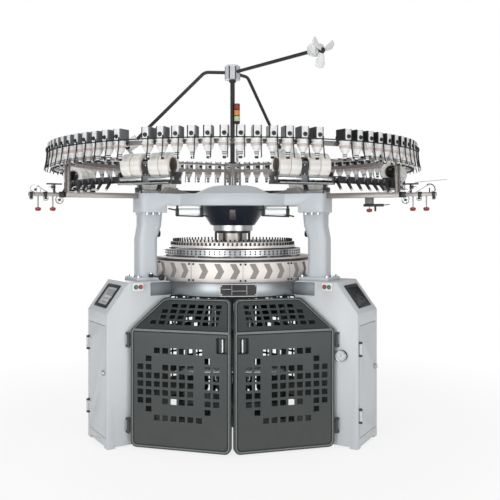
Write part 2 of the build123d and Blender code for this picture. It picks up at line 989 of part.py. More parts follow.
for side_name, azimuth, side in operator_sides:
    for button_name, shift in (("stop", -button_spread / 2), ("start", button_spread / 2)):
        middle = half_cabinet + box_deep + (button_reach - button_stem) / 2
        with BuildPart() as button:
            with Locations(
                place(azimuth, button_station + shift, side * middle, button_level)
                * Location((0, 0, 0), (90, 0, 0))
            ):
                Cylinder(button_radius, button_reach + button_stem)
            fillet(button.edges().filter_by(GeomType.CIRCLE), 1)
        save(button, f"{button_name}_button_{side_name}")

# Doors on the outer faces of the cabinets
door_plate = Plane.YZ.offset(cabinet_end - cabinet_sheet + gap)
cabinet_knuckles = (
    cabinet_door_low + cabinet_hinge_inset,
    cabinet_door_high - cabinet_hinge_inset - knuckle_height,
)
cabinet_axis = (
    cabinet_end + knuckle_radius + gap,
    -cabinet_door_width / 2 - cabinet_hinge_reach,
)
with BuildPart() as one_cabinet_door:
    with BuildSketch(door_plate):
        with Locations((0, (cabinet_door_low + cabinet_door_high) / 2)):
            Rectangle(
                cabinet_door_width - 2 * seam,
                cabinet_door_high - cabinet_door_low - 2 * seam,
            )
    extrude(amount=cabinet_sheet)
    for level in cabinet_knuckles:
        with Locations((cabinet_end + gap, cabinet_axis[1], level)):
            Box(
                cabinet_sheet,
                cabinet_hinge_leaf,
                knuckle_height,
                align=(Align.MIN, Align.MIN, Align.MIN),
            )
        with Locations((cabinet_axis[0], cabinet_axis[1], level)):
            Cylinder(
                knuckle_radius,
                knuckle_height,
                align=(Align.CENTER, Align.CENTER, Align.MIN),
            )
            Cylinder(
                hinge_pin + fit,
                knuckle_height,
                align=(Align.CENTER, Align.CENTER, Align.MIN),
                mode=Mode.SUBTRACT,
            )
    lock_level = (cabinet_door_low + cabinet_door_high) / 2 + cabinet_foot
    with Locations(Location((cabinet_end + gap, half_cabinet - cabinet_foot, lock_level), (0, 90, 0))):
        Cylinder(lock_radius, 2 * lock_radius)
for name, azimuth in (
    ("cabinet_door_rear", rear_azimuth),
    ("cabinet_door_left", left_azimuth),
    ("cabinet_door_right", right_azimuth),
):
    with BuildPart() as cabinet_door:
        with Locations(place(azimuth)):
            add(one_cabinet_door.part)
    save(cabinet_door, name)

# Safety door leaves: a pan of sheet, upright below and leaning back above its fold
hinge_offset = half_cabinet + hinge_stand
hinge_place = place(left_azimuth, hinge_station, hinge_offset).position
leaf_length = (abs(hinge_place.X) - door_split / 2) / cos(radians(door_yaw))
leaf_start = knuckle_radius + seam + 1
flank_angle = radians(90 - 180 / leg_count + door_yaw)
roof_length = hypot(roof_run, roof_rise)
roof_plane = Plane(
    origin=(0, 0, door_fold), x_dir=(1, 0, 0), z_dir=(0, -roof_rise, roof_run)
)
roof_start = leaf_start + roof_run / tan(flank_angle)
window_rows = (
    (2, 3, 4, 5, 6, 7),
    (1, 8),
    (0, 1, 3, 4, 5, 6, 8, 9),
    (0, 1, 2, 3, 4, 5, 6, 8, 9),
    (0, 1, 2, 3, 4, 5, 6, 8, 9),
    (0, 1, 2, 3, 4, 5, 6, 8, 9),
    (0, 1, 3, 4, 5, 6, 8, 9),
    (1, 8),
    (2, 3, 4, 5, 6, 7),
)
roof_rows = (range(0, 8), range(1, 8), range(1, 8), range(2, 8))


def window_places(rows, start, pitch):
    """The middles of the punched windows, row by row from the lowest."""
    return [
        (start[0] + column * pitch[0], start[1] + row * pitch[1])
        for row, columns in enumerate(rows)
        for column in columns
    ]


def lower_outline():
    """The upright panel of a leaf, with its bottom corners rounded."""
    with Locations((leaf_start, door_bottom)):
        Rectangle(
            leaf_length - leaf_start,
            door_fold - door_bottom,
            align=(Align.MIN, Align.MIN),
        )


def roof_outline():
    """The leaning panel of a leaf, cut back along the cabinet."""
    Polygon(
        (leaf_start, 0),
        (leaf_length, 0),
        (leaf_length - roof_run * tan(radians(door_yaw)), roof_length),
        (roof_start, roof_length),
        align=None,
    )


with BuildPart() as roof_pan:
    with BuildSketch(roof_plane) as roof_sheet:
        roof_outline()
        fillet(roof_sheet.vertices().group_by(Axis.Y)[-1], door_corner)
    extrude(amount=-door_depth)
    with BuildSketch(roof_plane.offset(-door_sheet)) as roof_inside:
        roof_outline()
        fillet(roof_inside.vertices().group_by(Axis.Y)[-1], door_corner)
        offset(amount=-door_rim, kind=Kind.INTERSECTION, mode=Mode.REPLACE)
    extrude(amount=-door_depth, mode=Mode.SUBTRACT)
    with BuildSketch(roof_plane):
        with Locations(window_places(roof_rows, roof_window_start, roof_window_pitch)):
            Rectangle(*roof_window_size)
    extrude(amount=-door_depth, mode=Mode.SUBTRACT)
handle_place = (leaf_length - handle_inset, door_fold - handle_drop)
with BuildPart() as one_leaf:
    with BuildSketch(Plane.XZ) as lower_sheet:
        lower_outline()
        fillet(lower_sheet.vertices().group_by(Axis.Y)[0], door_corner)
    extrude(amount=-door_depth)
    with BuildSketch(Plane.XZ.offset(-door_sheet)) as lower_inside:
        lower_outline()
        fillet(lower_inside.vertices().group_by(Axis.Y)[0], door_corner)
        offset(amount=-door_rim, kind=Kind.INTERSECTION, mode=Mode.REPLACE)
    extrude(amount=-door_depth, mode=Mode.SUBTRACT)
    with BuildSketch(Plane.XZ):
        with Locations(window_places(window_rows, window_start, window_pitch)):
            Rectangle(*window_size)
    extrude(amount=-door_depth, mode=Mode.SUBTRACT)
    with BuildSketch(Plane.XZ):
        with Locations(handle_place):
            Rectangle(handle_size[0] + 2 * door_sheet, handle_size[1] + 2 * door_sheet)
    extrude(amount=-door_depth)
    with BuildSketch(Plane.XZ):
        with Locations(handle_place):
            Rectangle(*handle_size)
    extrude(amount=door_sheet - door_depth, mode=Mode.SUBTRACT)
    with Locations((handle_place[0], 2 * handle_bar, handle_place[1])):
        Cylinder(handle_bar, handle_size[1])
    add(roof_pan.part)
    for level in knuckle_levels:
        with Locations((knuckle_radius / 2, door_sheet / 2, level)):
            Box(
                2 * knuckle_radius,
                door_sheet,
                knuckle_height,
                align=(Align.MIN, Align.MIN, Align.MIN),
            )
        with Locations((0, 0, level)):
            Cylinder(
                knuckle_radius,
                knuckle_height,
                align=(Align.CENTER, Align.CENTER, Align.MIN),
            )
            Cylinder(
                hinge_pin + fit,
                knuckle_height,
                align=(Align.CENTER, Align.CENTER, Align.MIN),
                mode=Mode.SUBTRACT,
            )
with BuildPart() as left_leaf:
    with Locations(Location(hinge_place, (0, 0, -door_yaw))):
        add(one_leaf.part)
with BuildPart() as right_leaf:
    mirror(left_leaf.part, about=Plane.YZ)
for bay, turn in (("front", 0), ("right", 360 / leg_count), ("left", -360 / leg_count)):
    for side_name, leaf in (("a", left_leaf), ("b", right_leaf)):
        with BuildPart() as safety_door:
            with Locations(Location((0, 0, 0), (0, 0, turn))):
                add(leaf.part)
        save(safety_door, f"safety_door_{bay}_{side_name}")


def hinge_lugs(levels):
    """The pin of a hinge at the local origin, with a lug above and below the knuckle."""
    for level in levels:
        low = level - gap - lug_height
        high = level + knuckle_height + gap
        with Locations((0, 0, low)):
            Cylinder(
                hinge_pin,
                high + lug_height - low,
                align=(Align.CENTER, Align.CENTER, Align.MIN),
            )
        for lug_level in (low, high):
            with Locations((0, 0, lug_level)):
                Cylinder(
                    knuckle_radius,
                    lug_height,
                    align=(Align.CENTER, Align.CENTER, Align.MIN),
                )


# Hinge lugs and pins of the safety doors and of the cabinet doors
with BuildPart() as safety_lugs:
    hinge_lugs(knuckle_levels)
    for level in knuckle_levels:
        for lug_level in (level - gap - lug_height, level + knuckle_height + gap):
            with Locations((0, 0, lug_level)):
                Box(
                    2 * knuckle_radius,
                    hinge_stand,
                    lug_height,
                    align=(Align.CENTER, Align.MAX, Align.MIN),
                )
with BuildPart() as cabinet_lugs:
    hinge_lugs(cabinet_knuckles)
    for level in cabinet_knuckles:
        for lug_level in (level - gap - lug_height, level + knuckle_height + gap):
            with Locations((0, 0, lug_level)):
                Box(
                    cabinet_axis[0] - cabinet_end,
                    2 * (knuckle_radius - seam),
                    lug_height,
                    align=(Align.MAX, Align.CENTER, Align.MIN),
                )
with BuildPart() as door_hinges:
    for azimuth in (rear_azimuth, left_azimuth, right_azimuth):
        with Locations(place(azimuth, hinge_station, hinge_offset)):
            add(safety_lugs.part)
        with Locations(place(azimuth, hinge_station, -hinge_offset, 0, 180)):
            add(safety_lugs.part)
        with Locations(place(azimuth, *cabinet_axis)):
            add(cabinet_lugs.part)
save(door_hinges, "door_hinges")

# Hand lever on the foot of the left column
lever_low = bed_top + column_foot_height + gap
lever_place = place(left_azimuth, lever_station, lever_offset, lever_low)
with BuildPart() as lever_shape:
    Cylinder(lever_hub, lever_hub_height, align=(Align.CENTER, Align.CENTER, Align.MIN))
    with Locations(Location((0, 0, lever_hub_height / 2), (-90, 0, 0))):
        Cylinder(lever_rod, lever_length, align=(Align.CENTER, Align.CENTER, Align.MIN))
    with Locations((0, lever_length, lever_hub_height / 2)):
        Sphere(lever_ball)
    Cylinder(
        lever_pin + fit,
        lever_hub_height,
        align=(Align.CENTER, Align.CENTER, Align.MIN),
        mode=Mode.SUBTRACT,
    )
with BuildPart() as hand_lever:
    with Locations(lever_place):
        add(lever_shape.part)
save(hand_lever, "hand_lever")

# Bolts of the column feet and of the crown blocks, and the pivot bolt of the hand lever
foot_bolts = column_foot / 2 - bolt_inset
block_bolt_row = crown_arm_width / 2 - bolt_height
with BuildPart() as machine_bolts:
    for azimuth in (rear_azimuth, left_azimuth, right_azimuth):
        foot_places = [(-1, -1), (-1, 0), (-1, 1), (1, -1), (1, 0), (1, 1)]
        for outward, sideways in foot_places:
            station = column_radius + outward * foot_bolts
            level = bed_top + column_foot_height
            with Locations(place(azimuth, station, sideways * foot_bolts, level)):
                Cylinder(
                    bolt_radius,
                    bolt_height,
                    align=(Align.CENTER, Align.CENTER, Align.MIN),
                )
        for outward in (-1, 0, 1):
            for sideways in (-1, 1):
                station = column_radius - column_flare / 2 + outward * foot_bolts / 2
                with Locations(place(azimuth, station, sideways * block_bolt_row, column_top)):
                    Cylinder(
                        bolt_radius,
                        bolt_height,
                        align=(Align.CENTER, Align.CENTER, Align.MAX),
                    )
    with Locations(place(left_azimuth, lever_station, lever_offset, lever_low - gap)):
        Cylinder(
            lever_pin,
            lever_hub_height + 2 * gap,
            align=(Align.CENTER, Align.CENTER, Align.MIN),
        )
        with Locations((0, 0, lever_hub_height + 2 * gap)):
            Cylinder(
                bolt_radius,
                bolt_height / 2,
                align=(Align.CENTER, Align.CENTER, Align.MIN),
            )
save(machine_bolts, "machine_bolts")

# Bar lamps under the crown, each in two black holders
lamp_level = crown_bottom - lamp_drop
lamp_holder_width = 2 * (lamp_radius + seam)
with BuildPart() as bar_lamps:
    for x_side in (-1, 1):
        with Locations((x_side * lamp_centre[0], -lamp_centre[1], lamp_level)):
            with Locations(Location((0, 0, 0), (0, 90, 0))):
                Cylinder(lamp_radius, lamp_length)
            for end in (-1, 1):
                with Locations((end * (lamp_length - lamp_holder_length) / 2, 0, 0)):
                    Box(lamp_holder_length, lamp_holder_width, lamp_holder_width)
                    Cylinder(
                        lamp_foot_radius,
                        lamp_drop,
                        align=(Align.CENTER, Align.CENTER, Align.MIN),
                    )
save(bar_lamps, "bar_lamps")

# Support arms out from the crown, each with two uprights and a short post
arm_bottom = crown_top - arm_height
with BuildPart() as one_arm:
    with Locations((crown_arm_end, 0, arm_bottom)):
        Box(
            arm_end - crown_arm_end,
            arm_width,
            arm_height,
            align=(Align.MIN, Align.CENTER, Align.MIN),
        )
    uprights = [(upright_station, -upright_spread), (upright_station, upright_spread)]
    with Locations([(x, y, crown_top) for x, y in uprights]):
        Cylinder(
            upright_radius,
            feeder_rail_bottom - crown_top,
            align=(Align.CENTER, Align.CENTER, Align.MIN),
        )
    with Locations((guide_radius, 0, crown_top)):
        Cylinder(
            guide_width / 2,
            guide_bottom - crown_top,
            align=(Align.CENTER, Align.CENTER, Align.MIN),
        )
with BuildPart() as support_arms:
    with PolarLocations(0, leg_count, start_angle=rear_azimuth):
        add(one_arm.part)
save(support_arms, "support_arms")

# Feeder ring
feeder_rail_top = feeder_rail_bottom + feeder_rail_height
with BuildPart() as feeder_ring:
    with BuildSketch(Plane.XZ) as rail_section:
        ring_profile(
            feeder_rail_inner, feeder_rail_outer, feeder_rail_bottom, feeder_rail_top
        )
    revolve(axis=Axis.Z)
save(feeder_ring, "feeder_ring")

# Yarn feeders: a front group and a long group round the rest of the ring
front_azimuth = -90
front_turns = [
    front_azimuth + feeder_pitch * (index - (front_feeders - 1) / 2)
    for index in range(front_feeders)
]
side_pitch = (360 - 2 * side_start) / (side_feeders - 1)
side_turns = [front_azimuth + side_start + side_pitch * index for index in range(side_feeders)]
feeder_turns = front_turns + side_turns
feeder_places = [place(turn, 0, 0, 0) for turn in feeder_turns]
housing_inner = feeder_rail_inner + feeder_inset
housing_outer = housing_inner + feeder_depth + feeder_nose
with BuildPart() as one_housing:
    with Locations((housing_inner, 0, feeder_rail_top)):
        Box(
            housing_outer - housing_inner,
            feeder_width,
            feeder_height,
            align=(Align.MIN, Align.CENTER, Align.MIN),
        )
    fillet(one_housing.edges().filter_by(Axis.Z), feeder_corner)
    knob_level = feeder_rail_top + feeder_height / 3
    with Locations(Location((housing_outer, 0, knob_level), (0, 90, 0))):
        Cylinder(knob_radius, knob_length, align=(Align.CENTER, Align.CENTER, Align.MIN))
with BuildPart() as feeder_housings:
    with Locations(feeder_places):
        add(one_housing.part, clean=False)
save(feeder_housings, "feeder_housings")

drum_low = feeder_rail_top - wheel_drum
with BuildPart() as one_wheel:
    with BuildSketch(Plane.XZ) as wheel_section:
        with BuildLine():
            Polyline(
                (0, drum_low - wheel_length),
                (wheel_neck * 0.8, drum_low - wheel_length),
                (wheel_neck, drum_low - wheel_length * 0.65),
                (wheel_radius * 0.75, drum_low - wheel_length * 0.25),
                (wheel_radius * 0.85, drum_low),
                (wheel_radius, drum_low),
                (wheel_radius, feeder_rail_top),
                (0, feeder_rail_top),
                close=True,
            )
        make_face()
    revolve(axis=Axis.Z)
with BuildPart() as feeder_wheels:
    with Locations([place(turn, feeder_radius) for turn in feeder_turns]):
        add(one_wheel.part, clean=False)
save(feeder_wheels, "feeder_wheels")

# Stop levers slanting down and out behind each feeder wheel
stop_lever_side = feeder_width / 2 - stop_lever_inset
with BuildPart() as one_stop_lever:
    with BuildSketch(Plane.XZ.offset(-stop_lever_side)) as stop_lever_side_view:
        with BuildLine():
            Polyline(
                (housing_outer, feeder_rail_top),
                (housing_outer, feeder_rail_top + stop_lever_seat),
                (housing_outer + stop_lever_thickness, feeder_rail_top + stop_lever_seat),
                (housing_outer + lever_reach / 4, drum_low),
                (housing_outer + lever_reach / 2, drum_low - wheel_length),
                (
                    housing_outer + lever_reach / 2 - stop_lever_thickness,
                    drum_low - wheel_length,
                ),
                (housing_outer + lever_reach / 4 - stop_lever_thickness, drum_low),
                close=True,
            )
        make_face()
    extrude(amount=stop_lever_width)
with BuildPart() as stop_levers:
    with Locations(feeder_places):
        add(one_stop_lever.part, clean=False)
save(stop_levers, "stop_levers")

# Lower guide arcs with their slanting yarn guide arms
guide_outer = guide_radius + guide_width / 2
guide_inner = guide_radius - guide_width / 2
guide_top = guide_bottom + guide_height
with BuildPart() as one_guide_arm:
    with BuildSketch(Plane.XZ.offset(-guide_arm_width / 2)) as guide_arm_side:
        with BuildLine():
            Polyline(
                (guide_outer - guide_arm_root, guide_top - guide_arm_root),
                (guide_outer - guide_arm_root, guide_bottom + guide_arm_tip),
                (guide_outer + guide_arm_reach - guide_arm_tip, guide_top - guide_arm_drop),
                (
                    guide_outer + guide_arm_reach,
                    guide_top - guide_arm_drop + guide_arm_tip / 2,
                ),
                (guide_outer + guide_arm_tip / 2, guide_top - guide_arm_root),
                close=True,
            )
        make_face()
    extrude(amount=guide_arm_width)
leg_turns = (rear_azimuth, left_azimuth, right_azimuth + 360)
guide_turns = [
    span_start + guide_pitch / 2 + guide_pitch * index
    for span_start, span_end in guide_spans
    for index in range(int((span_end - span_start) / guide_pitch))
]
free_turns = [turn for turn in guide_turns if min(abs(turn - leg) for leg in leg_turns) > guide_pitch / 2]
with BuildPart() as guide_ring:
    for span_start, span_end in guide_spans:
        with BuildSketch(upright_plane(span_start)) as guide_section:
            ring_profile(guide_inner, guide_outer, guide_bottom, guide_top)
        revolve(axis=Axis.Z, revolution_arc=span_end - span_start)
    with Locations([place(turn) for turn in free_turns]):
        add(one_guide_arm.part)
save(guide_ring, "guide_ring")

# Roller feeders: frame with end plates and gearbox, and rollers either side of the gearbox
roller_length = (unit_length - gearbox_width) / 2 - unit_plate
roller_middle = gearbox_width / 2 + roller_length / 2
tab_height = guide_bottom - unit_floor
with BuildPart() as one_unit_frame:
    with Locations((0, 0, unit_floor)):
        Box(
            unit_width,
            unit_length,
            unit_plate,
            align=(Align.CENTER, Align.CENTER, Align.MIN),
        )
        Box(
            gearbox_depth,
            gearbox_width,
            gearbox_height,
            align=(Align.CENTER, Align.CENTER, Align.MIN),
        )
        with Locations((0, (unit_length - unit_plate) / 2, 0), (0, (unit_plate - unit_length) / 2, 0)):
            Box(
                unit_width,
                unit_plate,
                unit_rise,
                align=(Align.CENTER, Align.CENTER, Align.MIN),
            )
    fillet(one_unit_frame.edges().filter_by(Axis.Y).group_by(Axis.Z)[-1], unit_corner)
with BuildPart() as one_unit_rollers:
    for across in (-roller_spread, roller_spread):
        for along in (-roller_middle, roller_middle):
            with Locations(Location((across, along, roller_level), (90, 0, 0))):
                Cylinder(roller_radius, roller_length)
with BuildPart() as one_tab:
    with Locations((0, unit_length / 2, unit_floor)):
        Box(
            guide_width,
            tab_length,
            tab_height,
            align=(Align.CENTER, Align.MIN, Align.MIN),
        )
tab_sides = (180, 0, 0, 180, 0, 180)
with BuildPart() as roller_feeders:
    with Locations([place(turn, guide_radius) for turn in unit_azimuths]):
        add(one_unit_frame.part)
        add(one_unit_rollers.part)
    tab_places = [
        place(turn, guide_radius, 0, 0, side) for turn, side in zip(unit_azimuths, tab_sides)
    ]
    with Locations(tab_places):
        add(one_tab.part)
save(roller_feeders, "roller_feeders")

# Yarn packages resting on the rollers
package_rise = sqrt((package_radius + roller_radius + gap) ** 2 - roller_spread**2)
package_level = roller_level + package_rise
first_package = gearbox_width / 2 + 2 * seam + package_width / 2
second_package = first_package + package_width + seam
with BuildPart() as one_unit_packages:
    for along in (-second_package, -first_package, first_package, second_package):
        with Locations(Location((0, along, package_level), (90, 0, 0))):
            Cylinder(package_radius, package_width)
            Cylinder(package_bore, package_width, mode=Mode.SUBTRACT)
    package_rims = one_unit_packages.edges().filter_by(GeomType.CIRCLE)
    fillet(package_rims.filter_by(lambda e: e.radius > package_bore + 1), package_corner)
with BuildPart() as yarn_packages:
    with Locations([place(turn, guide_radius) for turn in unit_azimuths]):
        add(one_unit_packages.part, clean=False)
save(yarn_packages, "yarn_packages")

# Top spider: a hub on three studs, and bars out to the uprights
with BuildPart() as top_spider:
    with Locations((0, 0, spider_level)):
        Cylinder(spider_hub, spider_height, align=(Align.CENTER, Align.CENTER, Align.MIN))
        with PolarLocations(0, leg_count, start_angle=rear_azimuth):
            Box(
                upright_station,
                spider_bar,
                spider_height,
                align=(Align.MIN, Align.CENTER, Align.MIN),
            )
            with Locations((upright_station, 0, 0)):
                Box(
                    2 * (upright_radius + spider_clamp_wall[0]),
                    2 * (upright_spread + upright_radius + spider_clamp_wall[1]),
                    spider_height,
                    align=(Align.CENTER, Align.CENTER, Align.MIN),
                )
            with Locations([(x, y, 0) for x, y in uprights]):
                Cylinder(
                    upright_radius,
                    spider_height,
                    align=(Align.CENTER, Align.CENTER, Align.MIN),
                    mode=Mode.SUBTRACT,
                )
    hump_top = crown_top + crown_hump_height
    with PolarLocations(stud_circle, 3, start_angle=rear_azimuth + 60):
        with Locations((0, 0, hump_top)):
            Cylinder(
                stud_radius,
                spider_level - hump_top,
                align=(Align.CENTER, Align.CENTER, Align.MIN),
            )
save(top_spider, "top_spider")

# Fan post with its foot plate and the collar that carries the turning hub
spider_top = spider_level + spider_height
with BuildPart() as fan_post:
    with Locations((0, 0, spider_top)):
        Cylinder(
            fan_post_radius,
            fan_post_top - spider_top,
            align=(Align.CENTER, Align.CENTER, Align.MIN),
        )
        Cylinder(
            fan_post_radius + post_plate_reach,
            post_plate,
            align=(Align.CENTER, Align.CENTER, Align.MIN),
        )
    with Locations((0, 0, fan_hub_bottom - gap)):
        Cylinder(
            fan_post_radius + post_collar_reach,
            post_collar_height,
            align=(Align.CENTER, Align.CENTER, Align.MAX),
        )
save(fan_post, "fan_post")

# Fan frame: hub, three arms and a motor can at the end of each
can_half = motor_can_length / 2
fan_arms = (
    (fan_azimuths[0], fan_station, fan_level, fan_tilt),
    (fan_azimuths[1], fan_station, fan_level, fan_tilt),
    (long_arm_azimuth, long_arm_station, long_arm_level, fan_tilt / 3),
)


def fan_location(arm):
    """The middle of a motor can, with its local Z along the fan shaft."""
    azimuth, station, level, tilt = arm
    return place(azimuth, station, 0, level) * Location((0, 0, 0), (0, 90 + tilt, 0))


with BuildPart() as fan_frame:
    with BuildSketch(Plane.XY.offset(fan_hub_bottom)):
        RegularPolygon(
            fan_hub_radius, fan_hub_sides, major_radius=False, rotation=180 / fan_hub_sides
        )
    extrude(amount=fan_hub_top - fan_hub_bottom)
    chamfer(fan_frame.faces().sort_by(Axis.Z)[-1].edges(), fan_hub_chamfer)
    for arm in fan_arms:
        azimuth, station, level, tilt = arm
        knee = fan_arm_knee if station == fan_station else fan_hub_radius
        knee_level = fan_arm_level
        with BuildLine(upright_plane(azimuth)) as arm_line:
            if station == fan_station:
                FilletPolyline(
                    (fan_hub_radius / 2, knee_level),
                    (knee, knee_level),
                    (station, level),
                    radius=fan_arm_bend,
                )
            else:
                Line((fan_hub_radius / 2, knee_level), (station, level))
        with BuildSketch(Plane(origin=arm_line.line @ 0, z_dir=arm_line.line % 0)):
            Circle(fan_arm_radius)
        sweep(path=arm_line.line)
        with Locations(fan_location(arm)):
            Cylinder(motor_can_radius, motor_can_length)
    with Locations((0, 0, fan_hub_bottom)):
        Cylinder(
            fan_post_radius + fit,
            fan_post_top + gap - fan_hub_bottom,
            align=(Align.CENTER, Align.CENTER, Align.MIN),
            mode=Mode.SUBTRACT,
        )
    for arm in fan_arms:
        with Locations(fan_location(arm)):
            with Locations((0, 0, can_half)):
                Cylinder(
                    fan_shaft + fit,
                    can_half,
                    align=(Align.CENTER, Align.CENTER, Align.MAX),
                    mode=Mode.SUBTRACT,
                )
save(fan_frame, "fan_frame")

# Fans: shaft, hub and three twisted blades
shaft_depth = can_half * 0.8
with BuildPart() as fan_shape:
    Cylinder(
        fan_shaft,
        shaft_depth + fan_hub_length / 2,
        align=(Align.CENTER, Align.CENTER, Align.MIN),
    )
    with Locations((0, 0, shaft_depth + gap)):
        Cylinder(fan_hub, fan_hub_length, align=(Align.CENTER, Align.CENTER, Align.MIN))
    with PolarLocations(0, fan_blades):
        blade_level = shaft_depth + fan_hub_length / 2
        with Locations(Location((blade_root, 0, blade_level), (blade_twist, 0, 0))):
            Box(
                fan_radius - blade_root,
                blade_width,
                blade_thickness,
                align=(Align.MIN, Align.CENTER, Align.CENTER),
            )
    blade_tips = fan_shape.edges().filter_by(
        lambda e: abs(e.length - blade_thickness) < fit
        and hypot(e.center().X, e.center().Y) > fan_radius / 2
    )
    fillet(blade_tips, blade_corner)
for name, arm in zip(("fan_left", "fan_rear", "fan_front"), fan_arms):
    with BuildPart() as fan:
        with Locations(fan_location(arm) * Location((0, 0, can_half - shaft_depth))):
            add(fan_shape.part)
    save(fan, name)

# Signal lamp on its pole beside the post
signal_place = place(signal_azimuth, signal_station, 0, spider_top)
with BuildPart() as signal_lamp:
    with Locations(signal_place):
        Cylinder(
            signal_pole,
            signal_bottom - spider_top,
            align=(Align.CENTER, Align.CENTER, Align.MIN),
        )
        for level in range(3):
            with Locations((0, 0, signal_bottom - spider_top + level * signal_lens)):
                Cylinder(
                    signal_radius,
                    signal_lens - signal_seam,
                    align=(Align.CENTER, Align.CENTER, Align.MIN),
                )
                Cylinder(
                    signal_radius - signal_seam,
                    signal_lens,
                    align=(Align.CENTER, Align.CENTER, Align.MIN),
                )
save(signal_lamp, "signal_lamp")

# Brackets at the arm ends with tension wheels, rollers and knobs
arm_middle = crown_top - arm_height / 2
bracket_under = arm_middle - bracket_bar[1] / 2
bracket_over = arm_middle + bracket_bar[1] / 2
with BuildPart() as one_bracket:
    with Locations((arm_end, 0, arm_middle)):
        Box(bracket_reach, *bracket_bar, align=(Align.MIN, Align.CENTER, Align.CENTER))
    for station, level, radius, width in bracket_rounds:
        with Locations(Location((arm_end + station, 0, arm_middle + level), (90, 0, 0))):
            Cylinder(radius, width)
    for station, side in bracket_knobs:
        with Locations((arm_end + station, side, bracket_under)):
            Cylinder(*bracket_stem, align=(Align.CENTER, Align.CENTER, Align.MAX))
        with Locations((arm_end + station, side, bracket_under - bracket_stem[1])):
            Cylinder(*bracket_knob, align=(Align.CENTER, Align.CENTER, Align.MAX))
    with Locations((arm_end + bracket_stand_station, 0, bracket_over)):
        Box(*bracket_stand, align=(Align.CENTER, Align.CENTER, Align.MIN))
        with Locations((0, 0, bracket_stand[2])):
            Box(*bracket_table, align=(Align.CENTER, Align.CENTER, Align.MIN))
with BuildPart() as arm_end_brackets:
    with PolarLocations(0, leg_count, start_angle=rear_azimuth):
        add(one_bracket.part)
save(arm_end_brackets, "arm_end_brackets")
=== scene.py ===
"""Looks of a large circular knitting machine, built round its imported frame."""

import json
import logging
from collections.abc import Callable, Iterator
from contextlib import contextmanager
from dataclasses import dataclass, field
from enum import Enum
from math import cos, hypot, pi, radians, sin, tan, tau

import bpy
from mathutils import Matrix, Vector

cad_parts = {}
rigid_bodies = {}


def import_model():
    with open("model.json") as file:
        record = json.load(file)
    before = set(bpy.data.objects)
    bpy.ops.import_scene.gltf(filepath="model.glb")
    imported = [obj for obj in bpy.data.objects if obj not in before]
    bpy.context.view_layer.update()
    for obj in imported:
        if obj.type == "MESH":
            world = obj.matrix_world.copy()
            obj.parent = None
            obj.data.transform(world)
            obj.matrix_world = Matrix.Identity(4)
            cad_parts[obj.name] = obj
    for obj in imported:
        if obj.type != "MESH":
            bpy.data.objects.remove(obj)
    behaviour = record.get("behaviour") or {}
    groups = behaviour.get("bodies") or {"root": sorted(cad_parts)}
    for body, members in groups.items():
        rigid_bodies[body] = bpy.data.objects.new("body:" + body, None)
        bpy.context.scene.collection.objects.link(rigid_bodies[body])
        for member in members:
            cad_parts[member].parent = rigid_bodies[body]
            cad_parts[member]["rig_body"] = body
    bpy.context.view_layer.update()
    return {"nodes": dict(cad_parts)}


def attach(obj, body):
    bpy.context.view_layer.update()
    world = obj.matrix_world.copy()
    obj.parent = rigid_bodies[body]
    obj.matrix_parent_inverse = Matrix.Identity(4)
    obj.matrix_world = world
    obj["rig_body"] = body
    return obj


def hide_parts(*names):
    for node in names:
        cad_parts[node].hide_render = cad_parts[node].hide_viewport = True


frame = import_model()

Piece = bpy.types.Object
Pair = tuple[float, float]
Spot = tuple[float, float, float]
Profile = tuple[Pair, ...]

LOG = logging.getLogger("knitting_machine")
REAR, LEFT, RIGHT = 90.0, 210.0, -30.0
LEGS = {"rear": REAR, "left": LEFT, "right": RIGHT}
BAYS = {"front": 0.0, "right": 120.0, "left": -120.0}
FRONT = -90.0
FRAME_BODY = "frame"
HALF_CABINET = 0.165
NEAR_ZERO = 1e-6
BLOCK_SMOOTH, TURNED_SMOOTH, ROD_SMOOTH = 32, 35, 60


def stand(azimuth: float, station: float = 0.0, offset: float = 0.0, level: float = 0.0) -> Matrix:
    """Places a thing seen from the machine axis.

    Args:
        azimuth: direction seen from the axis, in degrees.
        station: distance outwards, in metres.
        offset: distance sideways, counter-clockwise, in metres.
        level: height, in metres.

    Returns:
        The matrix that turns local X outwards and sets the thing there.
    """
    way = radians(azimuth)
    x = station * cos(way) - offset * sin(way)
    y = station * sin(way) + offset * cos(way)
    return Matrix.Translation((x, y, level)) @ Matrix.Rotation(way, 4, "Z")


def turn(axis: str, degrees: float) -> Matrix:
    """A turn about one axis."""
    return Matrix.Rotation(radians(degrees), 4, axis)


def at(x: float, y: float, z: float, axis: str = "Z", degrees: float = 0.0) -> Matrix:
    """The place at a point, with a turn about one axis there."""
    return Matrix.Translation((x, y, z)) @ turn(axis, degrees)


def ring(inner: float, outer: float, low: float, high: float) -> Profile:
    """The profile of a square ring."""
    return ((inner, low), (outer, low), (outer, high), (inner, high), (inner, low))


def scaled(radius: float, level: float, shape: Profile) -> Profile:
    """A profile from shares of a radius and drops below a level."""
    return tuple((radius * share, level - drop) for share, drop in shape)


def paint_colour(code: str) -> tuple[float, float, float, float]:
    """Turns a paint code such as #a0b0c0 into the linear colour that a shader reads.

    Args:
        code: the code.

    Returns:
        Red, green, blue and an alpha of 1.
    """
    parts = [int(code[place:place + 2], 16) / 255 for place in (1, 3, 5)]
    linear = [v / 12.92 if v <= 0.04045 else ((v + 0.055) / 1.055) ** 2.4 for v in parts]
    return (*linear, 1.0)


# ---------------------------------------------------------------- materials


